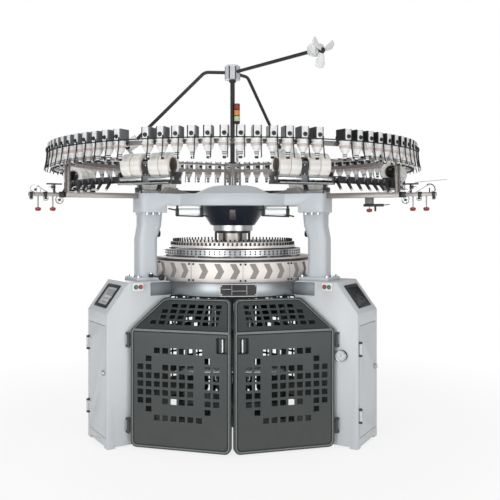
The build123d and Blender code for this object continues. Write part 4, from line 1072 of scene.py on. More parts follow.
@dataclass
class FeederRing:
    """The yarn feeders round the ring: housings, storage wheels and stop levers."""

    inner: float = 1.088
    outer: float = 1.166
    rail_top: float = 1.711
    height: float = 0.060
    width: float = 0.046
    plate: float = 0.006
    core_rounding: float = 0.004
    plate_rounding: float = 0.0015
    window: Spot = (0.0015, 0.012, 0.016)
    window_offset: float = 0.008
    knob: Profile = (
        (0.0115, -0.002), (0.0115, 0.001), (0.009, 0.002), (0.009, 0.0085), (0.0075, 0.010),
        (0.0015, 0.0105),
    )
    wheel_radius: float = 0.032
    wheel_station: float = 1.137
    drum: float = 0.041
    flange_steps: Profile = (
        (0.92, 0.001), (1, 0.003), (1, 0.006), (0.88, 0.008), (0.88, 0.018), (1, 0.020),
        (1, 0.024), (0.86, 0.026),
    )
    drum_steps: Profile = ((0.86, 0.026), (0.90, 0.030), (0.90, 0.040), (0.84, 0.041))
    cone_steps: Profile = ((0.84, 0), (0.76, 0.005), (0.7, 0.012), (0.375, 0.027), (0.25, 0.056))
    collars: tuple[Spot, ...] = (
        (0.0125, 0.028, 0.006), (0.0115, 0.038, 0.005), (0.0095, 0.050, 0.012),
    )
    finger: Spot = (0.006, 0.005, 0.014)
    finger_offset: float = 0.0175
    finger_rounding: float = 0.0009
    eyelet: Profile = ring(0.0025, 0.005, -0.0015, 0.0015)
    eyelet_drop: float = 0.100
    finger_bends: tuple[Spot, ...] = ((0.003, 0, -0.041), (0.006, 0, -0.035), (0.007, 0, -0.026))
    tape: Profile = ring(1.1665, 1.1685, 1.7075, 1.7135)
    front_count: int = 12
    front_pitch: float = 4.0
    side_count: int = 76
    side_start: float = 30.5

    def azimuths(self) -> list[float]:
        """Counts the feeders round the ring.

        Returns:
            The direction of each.
        """
        steps = [i - (self.front_count - 1) / 2 for i in range(self.front_count)]
        pitch = (360 - 2 * self.side_start) / (self.side_count - 1)
        sides = [FRONT + self.side_start + pitch * i for i in range(self.side_count)]
        return [FRONT + self.front_pitch * step for step in steps] + sides

    def housing(self) -> Piece:
        """Makes one housing with its side plates, knobs and window.

        Returns:
            The housing.
        """
        kit, deep = Kit(), self.outer - self.inner
        middle, level = self.inner + deep / 2, self.rail_top + self.height / 2
        core = (deep, self.width - 2 * self.plate, self.height - 0.002)
        kit.block(Finish.WHITE, core, (middle, 0, level), self.core_rounding)
        for side, finish in ((-1, Finish.BLACK), (1, Finish.GREY)):
            across = side * (self.width - self.plate) / 2
            size = (deep - 0.006, self.plate, self.height)
            kit.block(finish, size, (middle, across, level), self.plate_rounding, 1)
        for face, side, way in ((self.outer, 0, 90), (self.inner, -self.window_offset, -90)):
            place = at(face, side, self.rail_top + self.height / 3, "Y", way)
            kit.turned(Finish.BLACK, self.knob, 12, place)
        kit.block(Finish.GREY, self.window, (self.inner, self.window_offset, level + 0.012))
        return kit.join()

    def wheel(self) -> Piece:
        """Makes one storage wheel: flanges, yarn round the drum, and a pointed cone.

        Returns:
            The wheel.
        """
        kit, low = Kit(), self.rail_top - self.drum
        for finish, level, shape, sides in (
            (Finish.WHITE, self.rail_top, self.flange_steps, 20),
            (Finish.STORED, self.rail_top, self.drum_steps, 20),
            (Finish.WHITE, low, self.cone_steps, 16),
        ):
            kit.turned(finish, scaled(self.wheel_radius, level, shape), sides)
        for radius, drop, tall in self.collars:
            shape = ((0.8, 0), (1, 0.001), (1, tall - 0.001), (0.7, tall))
            kit.turned(Finish.BLACK, scaled(radius, low - drop, shape), 12)
        return kit.join(at(self.wheel_station, 0, 0))

    def lever(self) -> Piece:
        """Makes one stop lever: a flat finger that slants down and outwards, with an eyelet.

        Returns:
            The lever.
        """
        kit, seat = Kit(), self.rail_top
        middle = (self.outer + 0.003, self.finger_offset, seat + 0.007)
        finger = kit.block(Finish.BLACK, self.finger, middle)
        choose(finger, Choice.FACE, lambda face: face.normal.z < -0.5)
        with editing(everything=False):
            for bend in self.finger_bends:
                bpy.ops.mesh.extrude_region_move(TRANSFORM_OT_translate={"value": bend})
        soften(finger, self.finger_rounding, 1)
        place = at(self.outer + 0.0175, 0.012, seat - self.eyelet_drop, "X", 90)
        kit.turned(Finish.CERAMIC, self.eyelet, 10, place)
        return kit.join()

    def build(self) -> None:
        """Sets all feeders round the ring."""
        places = [stand(way) for way in self.azimuths()]
        for template, name, slot, node in (
            (self.housing, "feeder_housings_detailed", "white_plastic", "feeder_housings"),
            (self.wheel, "storage_wheels", "white_plastic", "feeder_wheels"),
            (self.lever, "stop_levers_detailed", "black_plastic", "stop_levers"),
        ):
            settle(copies(template(), places), name, slot, node)
        settle(Kit().turned(Finish.RUBBER, self.tape, 120), "drive_tape", "belt_rubber")


@dataclass
class ElastaneUnits:
    """Roller feeders: black frames, bright rollers and white yarn packages."""

    azimuths: tuple[float, ...] = (245.3, 290.1, 172.0, 341.5, 55.5, 124.5)
    tab_ends: tuple[float, ...] = (-1.0, 1.0, 1.0, -1.0, 1.0, -1.0)
    tab: Spot = (0.024, 0.034, 0.010)
    station: float = 1.030
    length: float = 0.320
    width: float = 0.104
    floor: float = 1.490
    plate: float = 0.008
    rise: float = 0.062
    cap: Profile = ((0.010, 0), (0.010, 0.003), (0.007, 0.005), (0.001, 0.0055))
    screw: Profile = ((0.003, 0), (0.003, 0.0022), (0.0012, 0.0026))
    screw_heights: Pair = (0.42, 0.82)
    belt_wheel: Profile = (
        (0.020, 0), (0.022, 0.002), (0.019, 0.004), (0.019, 0.010), (0.022, 0.012),
        (0.006, 0.014), (0.006, 0.018), (0.001, 0.019),
    )
    roller_level: float = 1.517
    roller_spread: float = 0.038
    roller_radius: float = 0.015
    rail_radius: float = 0.003
    strip: Spot = (0.022, 0.006, 0.003)
    gearbox: Spot = (0.078, 0.040, 0.118)
    package_radius: float = 0.065
    package_bore: float = 0.038
    package_wall: float = 0.003
    package_width: float = 0.058
    package_level: float = 1.58770
    package_offsets: tuple[float, ...] = (-0.113, -0.053, 0.053, 0.113)

    def tray(self, kit: Kit) -> None:
        """Adds the floor, and the cheeks with the roller caps.

        Args:
            kit: the unit's parts.
        """
        size = (self.width, self.length, self.plate)
        kit.block(Finish.BLACK_PAINT, size, (0, 0, self.floor + self.plate / 2), 0.0015)
        end = (self.length - self.plate) / 2
        for side in (-1, 1):
            size = (self.width, self.plate, self.rise)
            middle = (0, side * end, self.floor + self.rise / 2)
            kit.block(Finish.BLACK_PAINT, size, middle, 0.0018)
            for across in (-self.roller_spread, self.roller_spread):
                along = side * (end + self.plate / 2 - 0.001)
                place = at(across, along, self.roller_level, "X", -90 * side)
                kit.turned(Finish.PLATED, self.cap, 12, place)

    def gears(self, kit: Kit) -> None:
        """Adds the gearbox with its faces, screws and belt wheel.

        Args:
            kit: the unit's parts.
        """
        deep, wide, tall = self.gearbox
        kit.block(Finish.GREY, self.gearbox, (0, 0, self.floor + tall / 2), 0.004)
        for way in (-1, 1):
            middle = (way * deep / 2, 0, self.floor + tall * 0.62)
            kit.block(Finish.BLACK, (0.003, wide * 0.8, tall * 0.5), middle, 0.001, 1)
            for share in self.screw_heights:
                place = at(way * (deep / 2 + 0.0012), 0, self.floor + tall * share, "Y", 90 * way)
                kit.turned(Finish.PLATED, self.screw, 8, place)
        kit.turned(Finish.BLACK, self.belt_wheel, 20, at(0, 0, self.floor + tall - 0.001))

    def unit(self) -> Piece:
        """Makes one frame with gearbox, rollers, a yarn rail and strips.

        Returns:
            The unit.
        """
        kit, wide, r = Kit(), self.gearbox[1], self.roller_radius
        self.tray(kit)
        self.gears(kit)
        run = (self.length - wide) / 2 - self.plate
        half, middle = run / 2, wide / 2 + run / 2
        roller = (
            (r * 0.5, -half), (r * 0.96, -half + 0.001), (r, -half + 0.004), (r, half - 0.004),
            (r * 0.96, half - 0.001), (r * 0.5, half),
        )
        for across in (-self.roller_spread, self.roller_spread):
            for along in (-middle, middle):
                place = at(across, along, self.roller_level, "X", 90)
                kit.turned(Finish.PLATED, roller, 20, place)
        rail, reach, level = self.width / 2 + 0.014, self.length / 2 - 0.01, self.floor + 0.004
        ends = (rail, -reach, level), (rail, reach, level)
        kit.bar(Finish.PLATED, self.rail_radius, *ends, 8)
        for along in self.package_offsets:
            middle = (self.width / 2 + 0.006, along, level)
            kit.block(Finish.BLACK, self.strip, middle, 0.0006, 1)
        return kit.join()

    def package(self) -> Piece:
        """Makes one yarn package: cross-wound yarn on a card tube, its axis along Y.

        Returns:
            The package.
        """
        kit, half, bore, r = Kit(), self.package_width / 2, self.package_bore, self.package_radius
        shoulder = (
            (bore + 0.0005, half - 0.003), (bore + 0.006, half), (r - 0.006, half),
            (r - 0.0015, half - 0.002), (r, half - 0.006),
        )
        lower = tuple((radius, -level) for radius, level in shoulder)
        kit.turned(Finish.YARN, (*lower, *shoulder[::-1], lower[0]), 36)
        kit.turned(Finish.CARD, ring(bore - self.package_wall, bore, -half, half), 28)
        return kit.join(turn("X", 90))

    def build(self) -> None:
        """Sets the units and their packages round the machine."""
        places = [stand(way, self.station) for way in self.azimuths]
        kit = Kit()
        kit.add(copies(self.unit(), places))
        for place, end in zip(places, self.tab_ends):
            middle = (0, end * (self.length / 2 + 0.013), self.floor + 0.005)
            kit.block(Finish.BLACK_PAINT, self.tab, middle, 0.001, 1, place)
        settle(kit.join(), "roller_feeders_detailed", "dark_paint", "roller_feeders")
        spots = [
            stand(way, self.station, 0.0, self.package_level) @ at(0, along, 0)
            for way in self.azimuths
            for along in self.package_offsets
        ]
        packages = copies(self.package(), spots)
        settle(packages, "yarn_packages_wound", "yarn", "yarn_packages")


# ---------------------------------------------------------------- knitting head


@dataclass
class KnittingHead:
    """Marks, seams and screws on the cam ring, and what the bed ring carries."""

    cam_radius: float = 0.502
    cam_low: float = 0.940
    cam_high: float = 1.080
    marks_front: tuple[float, ...] = (-46.4, -35.9, -21.2, -10.3, 0.3, 13.4, 23.4, 33.2, 48.7)
    mark_pitch: float = 12.0
    mark_reach: float = 0.024
    mark_width: float = 0.036
    mark_height: float = 0.088
    mark_level: float = 1.005
    mark_wall: float = 0.0006
    lift: float = 0.0002
    sectors: int = 10
    sector_start: float = 7.0
    seam: Pair = (0.0012, 0.0016)
    cap_screw: Profile = (
        (0.0062, -0.001), (0.0062, 0.003), (0.0055, 0.0038), (0.0032, 0.0038), (0.003, 0.001),
        (0.0005, 0.0008),
    )
    screw_turns: Pair = (-1.6, 1.6)
    bed_radius: float = 0.545
    plate_size: Pair = (0.215, 0.070)
    plate_rim: float = 0.0026
    plate_level: float = 0.901
    plate_azimuth: float = -86.3
    rivet: Profile = ((0.0035, 0), (0.003, 0.0014), (0.0005, 0.002))
    rivet_inset: float = 0.010
    carrier_radius: float = 0.437
    hole_count: int = 90
    hole_rows: tuple[float, ...] = (1.1011, 1.1159)
    eyelet: Profile = (
        (0.0030, -0.004), (0.0030, 0.0012), (0.0055, 0.0012), (0.0055, -0.001),
        (0.0038, -0.001), (0.0030, -0.004),
    )
    cheek_start: float = 0.512
    cheek_end: float = 0.649
    cheek_depth: float = 0.006
    cheek_proud: float = 0.003
    cheek_low: float = 0.8625
    cheek_high: float = 0.9395
    cheek_rounding: float = 0.0012
    rim_band: Profile = (
        (0.5075, 1.0575), (0.5095, 1.0585), (0.5095, 1.0725), (0.5075, 1.0735),
        (0.4980, 1.0735), (0.4980, 1.0575), (0.5075, 1.0575),
    )

    def wrap(self, piece: Piece, radius: float, level: float, azimuth: float) -> Piece:
        """Bends a flat piece in XZ round the machine axis.

        Args:
            piece: the flat piece.
            radius: how far from the axis its middle lies.
            level: its height.
            azimuth: its direction, in degrees.

        Returns:
            The same piece.
        """
        for point in piece.data.vertices:
            x, y, z = point.co
            way = radians(azimuth) + x / radius
            point.co = ((radius - y) * cos(way), (radius - y) * sin(way), level + z)
        return piece

    def mark(self) -> Piece:
        """Makes one direction mark: a chevron from a thin strip, lying in XZ.

        Returns:
            The mark.
        """
        half = self.mark_height / 2
        piece = sheet(Finish.MARK, (self.mark_width, half), (0, 0, -half / 2), tilt=pi / 2)
        points = piece.data.vertices
        choose(
            piece, Choice.EDGE,
            lambda edge: all(abs(points[end].co.z) < NEAR_ZERO for end in edge.vertices),
        )
        with editing(everything=False):
            bpy.ops.transform.translate(value=(self.mark_reach, 0, 0))
            back = {"value": (-self.mark_reach, 0, half)}
            bpy.ops.mesh.extrude_edges_move(TRANSFORM_OT_translate=back)
            bpy.ops.mesh.select_all(action="SELECT")
            bpy.ops.mesh.subdivide(number_cuts=2)
            bpy.ops.mesh.normals_make_consistent(inside=False)
        modify(piece, "SOLIDIFY", thickness=self.mark_wall, offset=0.0)
        return piece

    def build_marks(self) -> None:
        """Sets the direction marks round the cam ring."""
        ways = [FRONT + way for way in self.marks_front]
        while ways[-1] + 1.5 * self.mark_pitch < ways[0] + 360:
            ways.append(ways[-1] + self.mark_pitch)
        template, kit = self.mark(), Kit()
        for way in ways:
            kit.add(self.wrap(twin(template), self.cam_radius + self.lift, self.mark_level, way))
        bpy.data.objects.remove(template)
        settle(kit.join(), "direction_marks", "cam_metal")

    def build_sectors(self) -> None:
        """Sets the seams and cap screws between the cam sectors."""
        middle = (self.cam_radius, 0, (self.cam_low + self.cam_high) / 2 - 0.012)
        size = (*self.seam, self.cam_high - self.cam_low - 0.030)
        ways = [FRONT + self.sector_start + 360 / self.sectors * i for i in range(self.sectors)]
        seams = copies(Kit().block(Finish.BLACK, size, middle), [stand(way) for way in ways])
        settle(seams, "cam_seams", "black_plastic")
        screw = Kit().turned(Finish.BLACK, self.cap_screw, 12, at(self.cam_radius, 0, 0, "Y", 90))
        places = [
            stand(way + side, level=level)
            for way in ways
            for side in self.screw_turns
            for level in (self.cam_low + 0.012, self.cam_high - 0.034)
        ]
        settle(copies(screw, places), "cam_screws", "black_plastic")

    def build_plate(self) -> None:
        """The bare black plate with a light frame on the bed ring."""
        kit, rim, (wide, high) = Kit(), self.plate_rim, self.plate_size
        size = (wide - 0.006, high - 0.006)
        kit.add(sheet(Finish.BLACK, size, (0, -0.0006, 0), (24, 8), pi / 2))
        for across, deep, tall, x, z in (
            (wide, 0.002, rim, 0, (high - rim) / 2),
            (wide, 0.002, rim, 0, (rim - high) / 2),
            (rim, 0.002, high, (wide - rim) / 2, 0),
            (rim, 0.002, high, (rim - wide) / 2, 0),
            (0.0015, 0.0016, high - 0.014, -wide * 0.18, 0),
            (0.0015, 0.0016, high - 0.014, wide * 0.22, 0),
            (wide * 0.38, 0.0016, 0.0015, wide * 0.02, -0.004),
            (wide * 0.24, 0.0016, 0.0015, -wide * 0.33, 0.006),
        ):
            kit.block(Finish.WHITE, (across, deep, tall), (x, -0.001, z))
            with editing():
                bpy.ops.mesh.subdivide(number_cuts=4)
        dx, dz = wide / 2 - self.rivet_inset, high / 2 - self.rivet_inset
        for x, z in ((-dx, -dz), (-dx, dz), (dx, -dz), (dx, dz)):
            kit.turned(Finish.PLATED, self.rivet, 12, at(x, -0.0006, z, "X", 90))
        spot = (self.bed_radius + 0.0004, self.plate_level, self.plate_azimuth)
        settle(self.wrap(kit.join(), *spot), "bed_plate", "dark_paint")

    def build_cheeks(self) -> None:
        """The machined cheeks of the bed's lobes, flush with the cabinet flanks, in a darker copy
        of the bed steel that paints shade on them.
        """
        long, tall = self.cheek_end - self.cheek_start, self.cheek_high - self.cheek_low
        middle = (self.cheek_start + self.cheek_end) / 2
        level = (self.cheek_low + self.cheek_high) / 2
        for side, name in ((1, "bed_cheeks_ccw"), (-1, "bed_cheeks_cw")):
            spot = (middle, side * (HALF_CABINET + self.cheek_proud - self.cheek_depth / 2), level)
            size = (long, self.cheek_depth, tall)
            cheek = Kit().block(Finish.CHEEK, size, spot, self.cheek_rounding)
            settle(copies(cheek, [stand(way) for way in LEGS.values()]), name, "bed_steel")

    def build_eyelets(self) -> None:
        """Dark eyelets in the two rows of holes of the yarn carrier ring."""
        eyelet = Kit().turned(Finish.BLACK, self.eyelet, 10, at(self.carrier_radius, 0, 0, "Y", 90))
        places = [
            stand(360 / self.hole_count * index, level=level)
            for level in self.hole_rows
            for index in range(self.hole_count)
        ]
        settle(copies(eyelet, places), "carrier_eyelets", "black_plastic")

    def build(self) -> None:
        """Builds the details of the head."""
        self.build_cheeks()
        self.build_eyelets()
        self.build_marks()
        self.build_sectors()
        self.build_plate()
        band = Kit().turned(Finish.BLACK_PAINT, self.rim_band, 160)
        settle(band, "cam_rim_band", "black_plastic")


# ---------------------------------------------------------------- casing details


@dataclass
class CabinetDetails:
    """Window frames, display panels and locks of the leg cabinets."""

    middle: Pair = (0.850, 0.857)
    run: float = 0.130
    fall: float = 0.174
    frame_size: Pair = (0.196, 0.156)
    pane_size: Pair = (0.158, 0.118)
    rim_height: float = 0.006
    key_columns: int = 6
    key_rows: int = 2
    lock_place: Spot = (0.9153, 0.115, 0.430)
    rose: Profile = (
        (0.0165, -0.002), (0.0165, 0.0150), (0.0150, 0.0165), (0.0095, 0.0165),
        (0.0085, 0.0145), (0.0005, 0.0145),
    )

    def slope(self, azimuth: float) -> Matrix:
        """The window's plane: X across the cabinet, Y up the slope, Z outwards.

        Args:
            azimuth: the direction of the cabinet, in degrees.

        Returns:
            The matrix of the plane.
        """
        out, across = Vector((self.fall, 0, self.run)).normalized(), Vector((0, 1, 0))
        local = Matrix((across, out.cross(across), out)).transposed().to_4x4()
        local.translation = Vector((self.middle[0], 0, self.middle[1]))
        return stand(azimuth) @ local

    def bezel(self) -> Piece:
        """Makes a black frame round the window: a plate, inset and hollowed.

        Returns:
            The frame.
        """
        piece = sheet(Finish.BLACK, self.frame_size, (0, 0, self.rim_height + 0.0018))
        down = {"value": (0, 0, -self.rim_height - 0.0014)}
        with editing():
            border = (self.frame_size[0] - self.pane_size[0]) / 2 + 0.001
            bpy.ops.mesh.inset(thickness=border, depth=0)
            bpy.ops.mesh.delete(type="FACE")
            bpy.ops.mesh.select_all(action="SELECT")
            bpy.ops.mesh.extrude_region_move(TRANSFORM_OT_translate=down)
            bpy.ops.mesh.select_all(action="SELECT")
            bpy.ops.mesh.normals_make_consistent(inside=False)
        soften(piece, 0.0012)
        return piece

    def display(self) -> Piece:
        """Makes the pale panel behind the glass, with a dark screen and rows of keys.

        Returns:
            The panel.
        """
        kit, (wide, high) = Kit(), self.pane_size
        kit.block(Finish.WHITE, (wide + 0.010, high + 0.010, 0.003), (0, 0, -0.0095), 0.001, 1)
        size = (wide * 0.86, high * 0.36, 0.002)
        kit.block(Finish.BLACK, size, (0, high * 0.24, -0.0075), 0.0006, 1)
        for column in range(self.key_columns):
            for row in range(self.key_rows):
                x, y = -wide * 0.36 + column * wide * 0.144, -high * 0.12 - row * high * 0.2
                kit.block(Finish.GREY, (wide * 0.10, high * 0.13, 0.003), (x, y, -0.007), 0.0008, 1)
        return kit.join()

    def lock(self) -> Piece:
        """Makes a round quarter-turn lock with its slot, pointing outwards.

        Returns:
            The lock.
        """
        kit = Kit()
        kit.turned(Finish.PLATED, self.rose, 24)
        kit.block(Finish.BLACK, (0.0022, 0.011, 0.0015), (0, 0, 0.0150))
        return kit.join(at(*self.lock_place, "Y", 90))

    def build(self) -> None:
        """Sets the details on the three cabinets."""
        slopes = [self.slope(way) for way in LEGS.values()]
        settle(copies(self.bezel(), slopes), "window_bezels", "dark_paint")
        settle(copies(self.display(), slopes), "display_panels", "white_plastic")
        for leg, way in LEGS.items():
            lock, body = placed(self.lock(), stand(way)), f"{leg}_panel"
            settle(lock, f"{body}_lock", "bright_steel", body=body)


@dataclass
class LeafDetails:
    """The pressed beads along the safety door leaves, and their recess frames; each light bead is a
    painted highlight, and the black cord beside it is painted shade of its groove.
    """

    hinge: Pair = (-0.59349, -0.562045)
    yaw: float = 15.5
    start: float = 0.012
    length: float = 0.6055
    low: float = 0.012
    fold: float = 0.680
    roof_run: float = 0.150
    roof_rise: float = 0.172
    inset: float = 0.015
    corner: float = 0.030
    small_corner: float = 0.006
    corner_steps: int = 5
    # A light bead that paints the highlight of the pressed edge, and a black cord beside it that
    # paints the shade of the groove.
    lines: tuple[tuple[Finish, float, float], ...] = (
        (Finish.BEAD, -0.004, 0.0028),
        (Finish.BLACK, 0.003, 0.0026),
    )
    handle: Pair = (0.0555, 0.0775)
    handle_inset: float = 0.050
    handle_drop: float = 0.071
    handle_rim: float = 0.0022
    pull_radius: float = 0.0066
    pull_depth: float = 0.012

    def rounded(self, corners: list[Vector], radii: list[float]) -> list[Vector]:
        """Draws a closed line through corners and rounds them.

        Args:
            corners: the corners in order.
            radii: the radius of each.

        Returns:
            The points of the line.
        """
        line = []
        for index, (corner, reach) in enumerate(zip(corners, radii)):
            before = (corners[index - 1] - corner).normalized()
            after = (corners[(index + 1) % len(corners)] - corner).normalized()
            first, last = corner + before * reach, corner + after * reach
            for step in range(self.corner_steps + 1):
                t = step / self.corner_steps
                line.append(first * (1 - t) ** 2 + corner * 2 * t * (1 - t) + last * t ** 2)
        return line

    def lower(self, kit: Kit) -> None:
        """Adds the beads of the upright part of a leaf.

        Args:
            kit: the leaf's parts.
        """
        a, b = self.start + self.inset, self.length - self.inset
        low, high = self.low + self.inset, self.fold - 0.006
        radii = [self.corner, self.corner, self.small_corner, self.small_corner]
        for finish, step, thick in self.lines:
            left, right, bottom, top = a + step, b - step, low + step, high - step
            spots = ((left, bottom), (right, bottom), (right, top), (left, top))
            corners = [Vector((x, 0, z)) for x, z in spots]
            kit.cord(finish, self.rounded(corners, radii), thick, True)

    def roof(self, kit: Kit) -> None:
        """Adds the beads of the sloping part of a leaf.

        Args:
            kit: the leaf's parts.
        """
        a, b = self.start + self.inset, self.length - self.inset
        rise = hypot(self.roof_run, self.roof_rise)
        up = Vector((0, self.roof_run, self.roof_rise)) / rise
        inner_cut = self.roof_run / tan(radians(90 - 60 + self.yaw))
        outer_cut = self.roof_run * tan(radians(self.yaw))
        for finish, step, thick in self.lines:
            bottom, top = 0.008 + step, rise - self.inset - step
            spots = (
                (a + step + inner_cut * bottom / rise, bottom),
                (b - step - outer_cut * bottom / rise, bottom),
                (b - step - outer_cut * top / rise, top),
                (a + step + inner_cut * top / rise + 0.006, top),
            )
            corners = [Vector((0, 0, self.fold)) + Vector((x, 0, 0)) + up * v for x, v in spots]
            line = self.rounded(corners, [0.008, self.small_corner, self.corner, self.corner])
            kit.cord(finish, line, thick, True)

    def beads(self) -> Piece:
        """Makes the beads and handle of one leaf in its own frame: X along it, -Y outwards.

        Returns:
            The beads.
        """
        kit = Kit()
        self.lower(kit)
        self.roof(kit)
        x, z = self.length - self.handle_inset, self.fold - self.handle_drop
        dx, dz = self.handle[0] / 2 + 0.004, self.handle[1] / 2 + 0.004
        signs = ((-1, -1), (1, -1), (1, 1), (-1, 1))
        recess = [Vector((x + i * dx, 0, z + k * dz)) for i, k in signs]
        line = self.rounded(recess, [self.small_corner] * 4)
        kit.cord(Finish.BLACK, line, self.handle_rim, True)
        ends = [(x, self.pull_depth, z + k * (dz - 0.005)) for k in (-1, 1)]
        kit.bar(Finish.PLATED, self.pull_radius, *ends, 16)
        return kit.join()

    def build(self) -> None:
        """Sets the beads on the six leaves."""
        closed = at(*self.hinge, 0, "Z", -self.yaw)
        mirrored = Matrix.Scale(-1, 4, (1, 0, 0)) @ closed
        for bay, yaw in BAYS.items():
            for side, place in (("a", closed), ("b", mirrored)):
                piece = placed(self.beads(), stand(yaw) @ place)
                if place is mirrored:
                    pick(piece)
                    with editing():
                        bpy.ops.mesh.flip_normals()
                settle(piece, f"leaf_beads_{bay}_{side}", "door_paint", body=f"{bay}_leaf_{side}")


@dataclass
class OperatorSide:
    """Bezels of the push buttons, and the face of the round gauge."""

    station: float = 0.733
    spread: float = 0.028
    level: float = 0.918
    front: float = 0.185
    button_bezel: Profile = (
        (0.0093, -0.001), (0.0128, -0.001), (0.0128, 0.0018), (0.0115, 0.0028),
        (0.0098, 0.0028), (0.0093, 0.002), (0.0093, -0.001),
    )
    gauge_place: Spot = (0.821, -HALF_CABINET, 0.529)
    gauge_radius: float = 0.032
    gauge_depth: float = 0.024
    dial_start: float = 225.0
    tick_count: int = 28
    tick_turn: float = 10.0
    long_tick: Spot = (0.0042, 0.0007, 0.0002)
    short_tick: Spot = (0.0026, 0.0004, 0.0002)
    digit_turn: float = 30.0
    digit_size: float = 0.0075

    def digit(self, kit: Kit, number: int, radius: float, level: float) -> None:
        """Adds one number of the dial.

        Args:
            kit: the gauge's parts.
            number: the number.
            radius: how far from the middle it stands.
            level: how high above the gauge's foot.
        """
        bpy.ops.object.text_add()
        text = bpy.context.object
        text.data.body = str(number)
        text.data.size = self.digit_size
        text.data.align_x = text.data.align_y = "CENTER"
        pick(text)
        bpy.ops.object.convert(target="MESH")
        way = radians(self.dial_start - number * self.digit_turn)
        place = at(cos(way) * radius, sin(way) * radius, level)
        kit.add(fix(bpy.context.object, Finish.BLACK), place)

    def gauge(self) -> Piece:
        """Makes the white face with ticks and numbers, and its rim.

        Returns:
            The face.
        """
        kit, wide, deep = Kit(), self.gauge_radius, self.gauge_depth
        r, face = wide - 0.004, deep - deep / 4
        disc = ((r - 0.0002, face), (r - 0.0006, face + 0.0001), (0.0005, face + 0.00015))
        kit.turned(Finish.WHITE, disc, 40)
        for index in range(self.tick_count):
            size = self.short_tick if index % 3 else self.long_tick
            place = turn("Z", self.dial_start - index * self.tick_turn)
            kit.block(Finish.BLACK, size, (r - 0.0045, 0, face + 0.0002), place=place)
        for number in range(0, 10, 3):
            self.digit(kit, number, r - 0.0105, face + 0.0003)
        rim = (
            (r, deep - 0.001), (wide + 0.0008, deep - 0.003), (wide + 0.0008, deep + 0.0008),
            (wide - 0.001, deep + 0.002), (r + 0.0005, deep + 0.0012), (r, deep - 0.001),
        )
        kit.turned(Finish.PLATED, rim, 48)
        return kit.join(stand(RIGHT, *self.gauge_place) @ turn("X", 90))

    def build(self) -> None:
        """Builds bezels and gauge."""
        places = [
            stand(way, self.station + shift, side * self.front, self.level)
            @ turn("X", -90 * side)
            for way, side in ((LEFT, 1), (RIGHT, -1))
            for shift in (-self.spread / 2, self.spread / 2)
        ]
        bezel = Kit().turned(Finish.BLACK, self.button_bezel, 24)
        settle(copies(bezel, places), "button_bezels", "black_plastic")
        settle(self.gauge(), "gauge_face", "white_plastic")


# ---------------------------------------------------------------- under and over the crown


